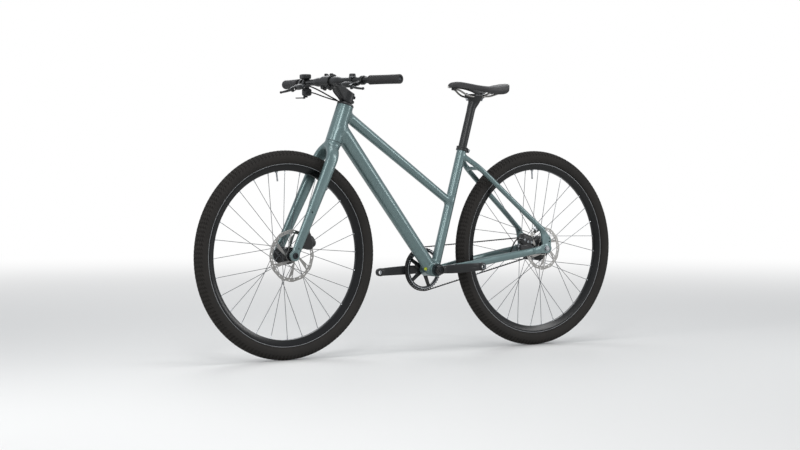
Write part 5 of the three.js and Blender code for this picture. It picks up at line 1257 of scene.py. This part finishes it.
def crank_solid():
    """An arm that points forward on the left, as a distance."""
    boss = pin(0, 0, 45.2, 62, 16.5, 2.5)
    eye = pin(CRANK_LENGTH, 0, 75, 89, 14, 2.5)
    rows = [[along * CRANK_LENGTH, lerp(53.5, 82, out), 0, 16 * size, lerp(7, 6, along)]
            for along, out, size in [[0.02, 0.01, 0.8], [0.16, 0.03, 0.92], [0.35, 0.38, 1],
                                     [0.7, 0.85, 0.94], [0.98, 1, 0.84]]]
    solid = merged(boss, (swept(rows, Z, 3.6, 40), 6), (eye, 6))
    groove = swept([[38, 69, 0, 3.4, 4], [90, 83.7, 0, 3.2, 4], [140, 89.4, 0, 2.6, 4]], Z, 2, 24)
    pedal_hole, screw_seat = pin(CRANK_LENGTH, 0, 60, 100, 7.4, 0), pin(0, 0, 58.6, 70, 12.5, 0.5)
    return carved(solid, pedal_hole, groove, screw_seat, blend=0.8)


def add_crankset():
    back = np.diag([-1.0, 1.0, 1.0, 1.0])
    other = CRANKS @ MIRROR
    left = skin(crank_solid(), (-20, 43, -20), (186, 91, 23), 1.0)
    place("crank_arm_left_fine", left, BLACK, "cranks", "black_metal", "crank_arm_left",
          matrix=CRANKS @ back, sharp=45)
    arms = [turn("Y", 72 * i + 36) for i in range(5)]
    arm = swept([[0, 48.5, 0, 12, 3.4], [30, 48.3, 0, 8, 3], [RING - 13, 48, 0, 6.5, 2.8]], Z, 3.4, 20)
    solid = merged(crank_solid(), *[(in_frame(arm, m), 5) for m in arms])
    right = skin(solid, (-80, 43, -80), (186, 91, 80), 1.1)
    place("crank_arm_right_fine", right, BLACK, "cranks", "black_metal", "crank_arm_right", matrix=other,
          sharp=45)
    low, high = BELT_LINE - 5, BELT_LINE + 5
    ring = slab(toothed(RING, RING_TEETH, 2.6), low + 1, high - 1, 0.4, [circle(0, 0, RING - 12.6, 96)])
    ring.join(turned(ring_profile(RING - 12.7, RING - 5.5, low, high, 0.8), 120))
    place("front_belt_ring_fine", ring, DARK_STEEL, "cranks", "silver", "front_belt_ring", matrix=other,
          sharp=30)
    bright = turned(ring_profile(RING - 7.2, RING - 5.2, low - 0.25, high + 0.25, 0.4), 120)
    place("front_ring_edge", bright, POLISHED, "cranks", "silver", matrix=other)
    details, centre = Shape(), Shape()
    for where in (back, MIRROR):
        for collar in (ring_profile(7.0, 9.2, 88.2, 89.3, 0.3), ring_profile(6.9, 7.5, 76, 88.6, 0.2)):
            details.join(turned(collar, 32, (CRANK_LENGTH, 0, 0)).moved(where))
        centre.join(bolt((0, 58.4, 0), Y, 9.6, 2.6, 0.5).moved(where))
    for m in arms:
        details.join(bolt(apply(m, (RING - 18, 51, 0)), Y, 4, 1.6).moved(MIRROR))
    place("crank_bolts", details, SILVER, "cranks", "silver", matrix=CRANKS)
    place("crank_centre_bolts", centre, DARK_STEEL, "cranks", "black_metal", matrix=CRANKS)
    spindle = rod((0, -46, 0), (0, 46, 0), 12, bevel=0.5)
    place("crank_spindle", spindle, DARK_STEEL, "cranks", "black_metal", matrix=CRANKS)


def belt_loop(outside, inside_teeth):
    """The belt's outline round both rings. Where it has teeth, they stand inward by their depth."""
    between = BRACKET - REAR_AXLE
    heading = math.atan2(between[2], between[0])
    radii = [RING + GAP + outside, SPROCKET + GAP + outside]
    lean = math.pi - math.acos((radii[0] - radii[1]) / np.linalg.norm(between))
    points = []
    for centre, radius, start, end in (
            (BRACKET, radii[0], heading - lean, heading + lean),
            (REAR_AXLE, radii[1], heading + lean, heading + 2 * math.pi - lean)):
        for q in np.linspace(start, end, 90):
            points.append((centre[0] + radius * math.cos(q), centre[2] + radius * math.sin(q)))
    closed = np.array(points + points[:1])
    along = np.concatenate([[0], np.cumsum(np.linalg.norm(np.diff(closed, axis=0), axis=1))])
    teeth = round(along[-1] / BELT_PITCH)
    shares = [(i + s) / teeth for i in range(teeth) for s in (0, 0.08, 0.2, 0.3, 0.4, 0.52, 0.6, 0.8)]
    even = np.array(shares) * along[-1]
    path = np.stack([np.interp(even, along, closed[:, k]) for k in (0, 1)], 1)
    lift = np.tile([0, 0, inside_teeth, inside_teeth, inside_teeth, 0, 0, 0], teeth)
    ahead = np.roll(path, -1, 0) - np.roll(path, 1, 0)
    normal = np.stack([ahead[:, 1], -ahead[:, 0]], 1) / np.linalg.norm(ahead, axis=1)[:, None]
    return path - normal * lift[:, None]


def add_belt():
    outer, inner = belt_loop(4, 0), belt_loop(2.3, 2.2)
    low, high = -BELT_LINE - 5, -BELT_LINE + 5
    rings = [np.array([(b[0], low, b[1]), (a[0], low + 0.4, a[1]), (a[0], high - 0.4, a[1]),
                       (b[0], high, b[1])]) for a, b in zip(outer, inner)]
    place("belt_fine", loft(rings, closed=True), RUBBER, "frame", "rubber", "belt", sharp=25)
    pads = Shape()
    for i in range(2, len(inner), 8):
        faces = inner[i:i + 3]
        inward = unit(inner[i + 1] - outer[i + 1])
        near_side = [(p + inward * 0.25) for p in faces]
        far_side = [(p - inward * 0.8) for p in faces[::-1]]
        pads.join(loft([np.array([(p[0], y, p[1]) for p in near_side + far_side])
                        for y in (low + 1, high - 1)]))
    place("belt_teeth", pads, FACING_AND_RIM_HIGHLIGHT, "frame", "rubber")
    sprocket = slab(toothed(SPROCKET, SPROCKET_TEETH, 2.4), low + 0.5, high - 0.5, 0.4,
                    [circle(0, 0, 18.2, 64)])
    sprocket.join(turned(ring_profile(18.2, 27, low, high, 0.6), 64))
    place("rear_sprocket_fine", sprocket, SILVER, "rear_sprocket", "silver", "rear_sprocket",
          matrix=WHEELS["rear"], sharp=30)


def add_bracket():
    cups = Shape()
    notches = [polar(23 - (1.5 if i % 6 in (0, 1) else 0), q) for i, q in enumerate(turns(96))]
    for side in (1, -1):
        cups.join(slab(notches, *sorted((side * 37, side * 43)), 0.5, [circle(0, 0, 12.6, 48)]),
                  turned(ring_profile(12.5, 18, *sorted((side * 42.5, side * 44.6)), 0.8), 64))
    place("bottom_bracket_fine", cups, CUP, "frame", "black_metal", "bottom_bracket",
          matrix=shift(*BRACKET))


# Seatpost, saddle clamp, rails and saddle
POST_TOP = seat_point(SEAT_TUBE + 172)
RAIL_SPREAD = 22
RAIL_Z = POST_TOP[2] + 19
CRADLE_X = POST_TOP[0] - 7
NOSE_X = CRADLE_X + 118
SADDLE_TOP, SADDLE_LENGTH = RAIL_Z + 52, 262
# Each point's shares along the saddle, out to the side and up
RAILS = [[0.855, 1.545, 0.308], [0.763, 1.364, 0.192], [0.668, 1.091, 0.038], [0.592, 1, 0], [0.45, 1, 0],
         [0.313, 1, 0], [0.237, 0.864, 0.154], [0.153, 0.545, 0.404], [0.1, 0.273, 0.481]]


def add_seatpost():
    top, floor = RAIL_Z - GAP, RAIL_Z + GAP
    foot = seat_point(SEAT_TUBE - 30)
    post = bar(foot, POST_TOP, POST_RADIUS, edge=0.5)

    def on_axis(z):
        return lerp(foot, POST_TOP, (z - foot[2]) / (POST_TOP[2] - foot[2]))
    rows = [[*on_axis(top - 60), 8, 8], [*on_axis(top - 40), 12.5, 12.5],
            [CRADLE_X + 2.5, 0, top - 22, 17, 17], [CRADLE_X, 0, top - 9, 22, 24],
            [CRADLE_X, 0, top - 0.5, 26, 28.6]]
    cradle = swept(rows, X, 3, 24)
    ears = box((CRADLE_X - 41, -8.4, top - 6), (CRADLE_X + 41, 8.4, top), 2.4)
    rails = [bar((CRADLE_X - 60, y, RAIL_Z), (CRADLE_X + 60, y, RAIL_Z), 3.8, edge=0)
             for y in (RAIL_SPREAD, -RAIL_SPREAD)]
    scoop = box((CRADLE_X - 15, -15, top - 5), (CRADLE_X + 15, 15, top + 5), 3)
    solid = carved(merged(post, (cradle, 6), (ears, 20)), *rails, scoop)
    low, high = (CRADLE_X - 43, -32, foot[2] - 6), (-190, 32, top + 2)
    place("seatpost_fine", skin(solid, low, high, 1.0), BLACK, "seatpost", "black_metal", "seatpost",
          sharp=45)
    clamp = box((CRADLE_X - 19, -29, floor - 2), (CRADLE_X + 19, 29, floor + 8), 3)
    beam = box((CRADLE_X - 40, -7.6, floor + 0.5), (CRADLE_X + 40, 7.6, floor + 7.6), 2.6)
    solid = carved(merged(clamp, (beam, 5)), *rails)
    low, high = (CRADLE_X - 42, -31, floor - 4), (CRADLE_X + 42, 31, floor + 10)
    place("saddle_clamp_fine", skin(solid, low, high, 0.9), BLACK, "seatpost", "black_metal",
          "saddle_clamp", sharp=45)
    screws = Shape()
    for x in (CRADLE_X + 34, CRADLE_X - 34):
        screws.join(rod((x, 0, top - 16), (x, 0, floor + 9), 2.9), bolt((x, 0, top - 6), -Z, 5, 6, 0.5),
                    rod((x, -7, floor + 8), (x, 7, floor + 8), 4, sides=20))
    place("saddle_clamp_screws", screws, SILVER, "seatpost", "silver")
    path = [vec(NOSE_X - a * SADDLE_LENGTH, b * RAIL_SPREAD, RAIL_Z + c * 52) for a, b, c in RAILS]
    both = path + [p * [1, -1, 1] for p in path[::-1]]
    place("saddle_rails_fine", tube(both, 3.5, 130), STEEL, "seatpost", "steel", "saddle_rails")


# Each section's share of the length, half width, drop of the top and depth of the skirt
SADDLE = [[0, 0.06, 1.08, 0.25], [0.012, 0.12, 0.7, 0.42], [0.03, 0.175, 0.4, 0.5], [0.1, 0.26, 0.04, 0.66],
          [0.2, 0.3, 0, 0.72], [0.35, 0.36, 0.35, 0.7], [0.5, 0.5, 0.77, 0.75], [0.65, 0.76, 1, 0.94],
          [0.78, 0.97, 0.85, 1], [0.88, 1, 0.5, 0.8], [0.95, 0.88, 0.36, 0.64], [0.985, 0.74, 0.36, 0.54],
          [1, 0.6, 0.5, 0.42]]


def saddle_rings(rows, width, height, grow, arc, lift=0.0):
    """Arches across the saddle. Only the outer ones, of full height, have the channel and the seam."""
    rings = []
    for share, half_share, drop, skirt in rows:
        x = NOSE_X - share * SADDLE_LENGTH
        base = SADDLE_TOP - drop * 13 - skirt * 32 + lift
        half, tall = half_share * width * 73 + grow, skirt * height * 32 + grow
        channel = 4 * np.interp(share, [0.3, 0.5, 0.86, 0.97], [0, 1, 1, 0])
        ridge = 0.9 * np.interp(share, [0.04, 0.1], [0, 1])
        tail = 36 * min(max(share - 0.76, 0) / 0.24, 1) ** 2
        ring = []
        for q in np.linspace(-90, 90, arc):
            s, c = sine(q), max(cosine(q), 0)
            dip = channel * math.exp(-(s / 0.16) ** 2)
            seam = ridge * math.exp(-((abs(q) - 57) / 1.6) ** 2)
            lower = (dip + seam * c) if height == 1 else 0
            y = (half - (seam * abs(s) if height == 1 else 0)) * np.sign(s) * abs(s) ** 0.85
            ring.append((x + tail * (1 - c ** 1.2), y, base + tall * c ** 0.8 - lower))
        rings.append(np.array(ring))
    return rings


def add_saddle():
    rows = smooth([[share * SADDLE_LENGTH, 0, 0, half, drop, skirt] for share, half, drop, skirt in SADDLE],
                  72)
    rows = [[r[0] / SADDLE_LENGTH, r[3], r[4], r[5]] for r in rows]
    outer = saddle_rings(rows, 1, 1, 0, 61)
    inner = saddle_rings([[min(max(r[0], 0.012), 0.985), *r[1:]] for r in rows], 0.9, 0.5, 0, 25, -0.4)
    pad = place("saddle_pad_fine", loft([np.concatenate([a, b[::-1]]) for a, b in zip(outer, inner)]), COVER,
                "seatpost", "saddle_cover", "saddle_pad", sharp=45)
    under = saddle_rings(rows[4:-4], 0.88, 0.45, -0.5, 31, 0.6)
    lower = saddle_rings(rows[4:-4], 0.84, 0.36, -2, 31, 0.3)
    shell = loft([np.concatenate([a, b[::-1]]) for a, b in zip(under, lower)])
    x, z = NOSE_X - 0.855 * SADDLE_LENGTH, RAIL_Z + 16
    for y in (34, -34):
        socket = smooth([[x + 3, y, z, 7, 7], [x - 2, y, z + 4, 8, 8], [x - 2, y, z + 12, 9, 9]], 8)
        shell.join(sweep(socket, X, 20, 3))
    x = NOSE_X - 0.1 * SADDLE_LENGTH
    socket = [[x, 0, RAIL_Z + 21, 7, 11], [x, 0, RAIL_Z + 27, 8, 12], [x, 0, RAIL_Z + 33, 7, 9]]
    shell.join(sweep(socket, X, 24, 3))
    place("saddle_shell_fine", shell, PLASTIC, "seatpost", "plastic", "saddle_shell", sharp=45)
    # A pale band down the sides of the tail: a painted highlight on the saddle's rear edge
    tail = saddle_rings(rows[-3:-2], 1, 1, 0.1, 61)[0]
    painted_highlight = sweep([(*p, 1.8, 1.8) for p in tail[5:-5]], X, 12)
    place("saddle_tail_highlight", painted_highlight, SADDLE_HIGHLIGHT, "seatpost", "saddle_cover")
    # A pale tip on the nose: a painted highlight
    spot = vec(NOSE_X - 3, 0, SADDLE_TOP - 20.5)
    rows = [[*(spot + vec(3.6, 0, 0.8)), 3.4, 2.4], [*spot, 5.6, 3.8], [*(spot - vec(7, 0, 0.2)), 5.4, 3.2]]
    painted_highlight = skin(swept(rows, Y, 2, 12), spot - vec(14, 9, 6), spot + vec(9, 9, 6), 0.6)
    place("saddle_nose_highlight", painted_highlight, SADDLE_HIGHLIGHT, "seatpost", "saddle_cover")


def add_plug():
    along = unit(HEAD_BOTTOM + DOWN_TUBE_AT * STEER_UP - BRACKET)
    below = -np.cross(along, Y)
    facing = Y * cosine(66) + below * sine(66)
    foot = BRACKET + 22 * along
    profile = [(0, 18), (6, 18), (6, 26.6), (5.4, 28.2), (4.6, 29), (2, 29.2), (1.4, 28.4), (0, 28.4)]
    place("cable_port_plug_fine", turned(profile, 32, foot, facing), LIME, "frame", "lime_plastic",
          "cable_port_plug")


def finish_nodes():
    for name in ("lower_headset_bearing", "upper_headset_bearing"):
        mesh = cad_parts[name].data
        mesh.materials.clear()
        mesh.materials.append(STEEL)


# Camera, lamps, floor and backdrop
def add_camera():
    lens = bpy.data.cameras.new("Camera")
    lens.lens, lens.sensor_width, lens.clip_end = 97.2, 36, 100
    camera = added("Camera", lens)
    camera.location = (4.5426, 6.2640, 0.6911)
    camera.rotation_euler = Vector((-0.5812, -0.8132, -0.0304)).to_track_quat("-Z", "Y").to_euler()
    bpy.context.scene.camera = camera


def add_lamp(name, spot, target, width, height, power):
    lamp = bpy.data.lights.new(name, "AREA")
    lamp.shape, lamp.size, lamp.size_y, lamp.energy = "RECTANGLE", width, height, power
    holder = added(name, lamp)
    holder.location = spot
    holder.rotation_euler = (Vector(target) - Vector(spot)).to_track_quat("-Z", "Y").to_euler()


def mixed(tree, share, low, high):
    mix = node(tree, "ShaderNodeMixShader")
    for socket, source in zip(mix.inputs, (share, low.outputs[0], high.outputs[0])):
        tree.links.new(source, socket)
    return mix


def add_world():
    """White to the camera, and softer light for all else."""
    world = bpy.data.worlds.new("Studio")
    bpy.context.scene.world = world
    world.use_nodes = True
    tree = world.node_tree
    tree.nodes.clear()
    path = node(tree, "ShaderNodeLightPath")
    seen = node(tree, "ShaderNodeMath", "MAXIMUM")
    tree.links.new(path.outputs["Is Camera Ray"], seen.inputs[0])
    tree.links.new(path.outputs["Is Transmission Ray"], seen.inputs[1])
    pale = (0.93, 0.96, 1, 1)
    white = node(tree, "ShaderNodeBackground", Color=(1, 1, 1, 1))
    soft = node(tree, "ShaderNodeBackground", Color=pale, Strength=0.42)
    glossy = node(tree, "ShaderNodeBackground", Color=pale, Strength=0.8)
    lit = mixed(tree, path.outputs["Is Glossy Ray"], soft, glossy)
    both = mixed(tree, seen.outputs[0], lit, white)
    tree.links.new(both.outputs[0], node(tree, "ShaderNodeOutputWorld").inputs["Surface"])


def add_floor():
    """White paper that fades into the backdrop away from the bike."""
    half = 14
    corners = [(-half, -half, 0), (half, -half, 0), (half, half, 0), (-half, half, 0)]
    mesh = bpy.data.meshes.new("Floor")
    mesh.from_pydata(corners, [], [(0, 1, 2, 3)])
    added("Floor", mesh)
    material = bpy.data.materials.new("FloorPaper")
    material.use_nodes = True
    tree = material.node_tree
    shader = tree.nodes["Principled BSDF"]
    shader.inputs["Base Color"].default_value = (0.78, 0.78, 0.77, 1)
    shader.inputs["Roughness"].default_value = 0.6
    spot = node(tree, "ShaderNodeTexCoord")
    length = node(tree, "ShaderNodeVectorMath", "LENGTH")
    tree.links.new(spot.outputs["Object"], length.inputs[0])
    fade = node(tree, "ShaderNodeMapRange", **{"From Min": 1.0, "From Max": 8.0})
    fade.interpolation_type = "SMOOTHSTEP"
    tree.links.new(length.outputs["Value"], fade.inputs["Value"])
    path = node(tree, "ShaderNodeLightPath")
    seen = node(tree, "ShaderNodeMath", "MULTIPLY")
    tree.links.new(path.outputs["Is Camera Ray"], seen.inputs[0])
    tree.links.new(fade.outputs["Result"], seen.inputs[1])
    both = mixed(tree, seen.outputs[0], shader, node(tree, "ShaderNodeEmission"))
    tree.links.new(both.outputs[0], tree.nodes["Material Output"].inputs["Surface"])
    mesh.materials.append(material)


def add_lamps():
    """Each lamp's name, place, target, width, height and power."""
    add_lamp("KeyLamp", (2.6, 3.2, 2.6), (0, 0, 0.55), 0.9, 2.4, 52)
    add_lamp("FrontStrip", (3.4, 0.6, 1.5), (0.2, 0, 0.6), 0.35, 2.2, 28)
    add_lamp("RearStrip", (-2.6, 2.6, 1.6), (-0.3, 0, 0.6), 0.4, 2.2, 28)
    add_lamp("TopLamp", (0, 0.4, 3.4), (0, 0, 0.5), 2.4, 1.2, 30)
    add_lamp("BackLamp", (-1.5, -3.4, 3.0), (0, 0, 0.6), 2.2, 1.8, 32)


add_camera()
add_hoses()
add_frame()
add_seat_clamp()
add_fork()
add_headset_cover()
add_stem()
add_handlebar()
add_brakes()
add_shifter()
add_bar_cap()
add_front_caliper()
add_rear_caliper()
add_wheels()
add_crankset()
add_belt()
add_bracket()
add_seatpost()
add_saddle()
add_plug()
finish_nodes()
add_world()
add_floor()
add_lamps()
bpy.context.scene.view_settings.view_transform = "Standard"
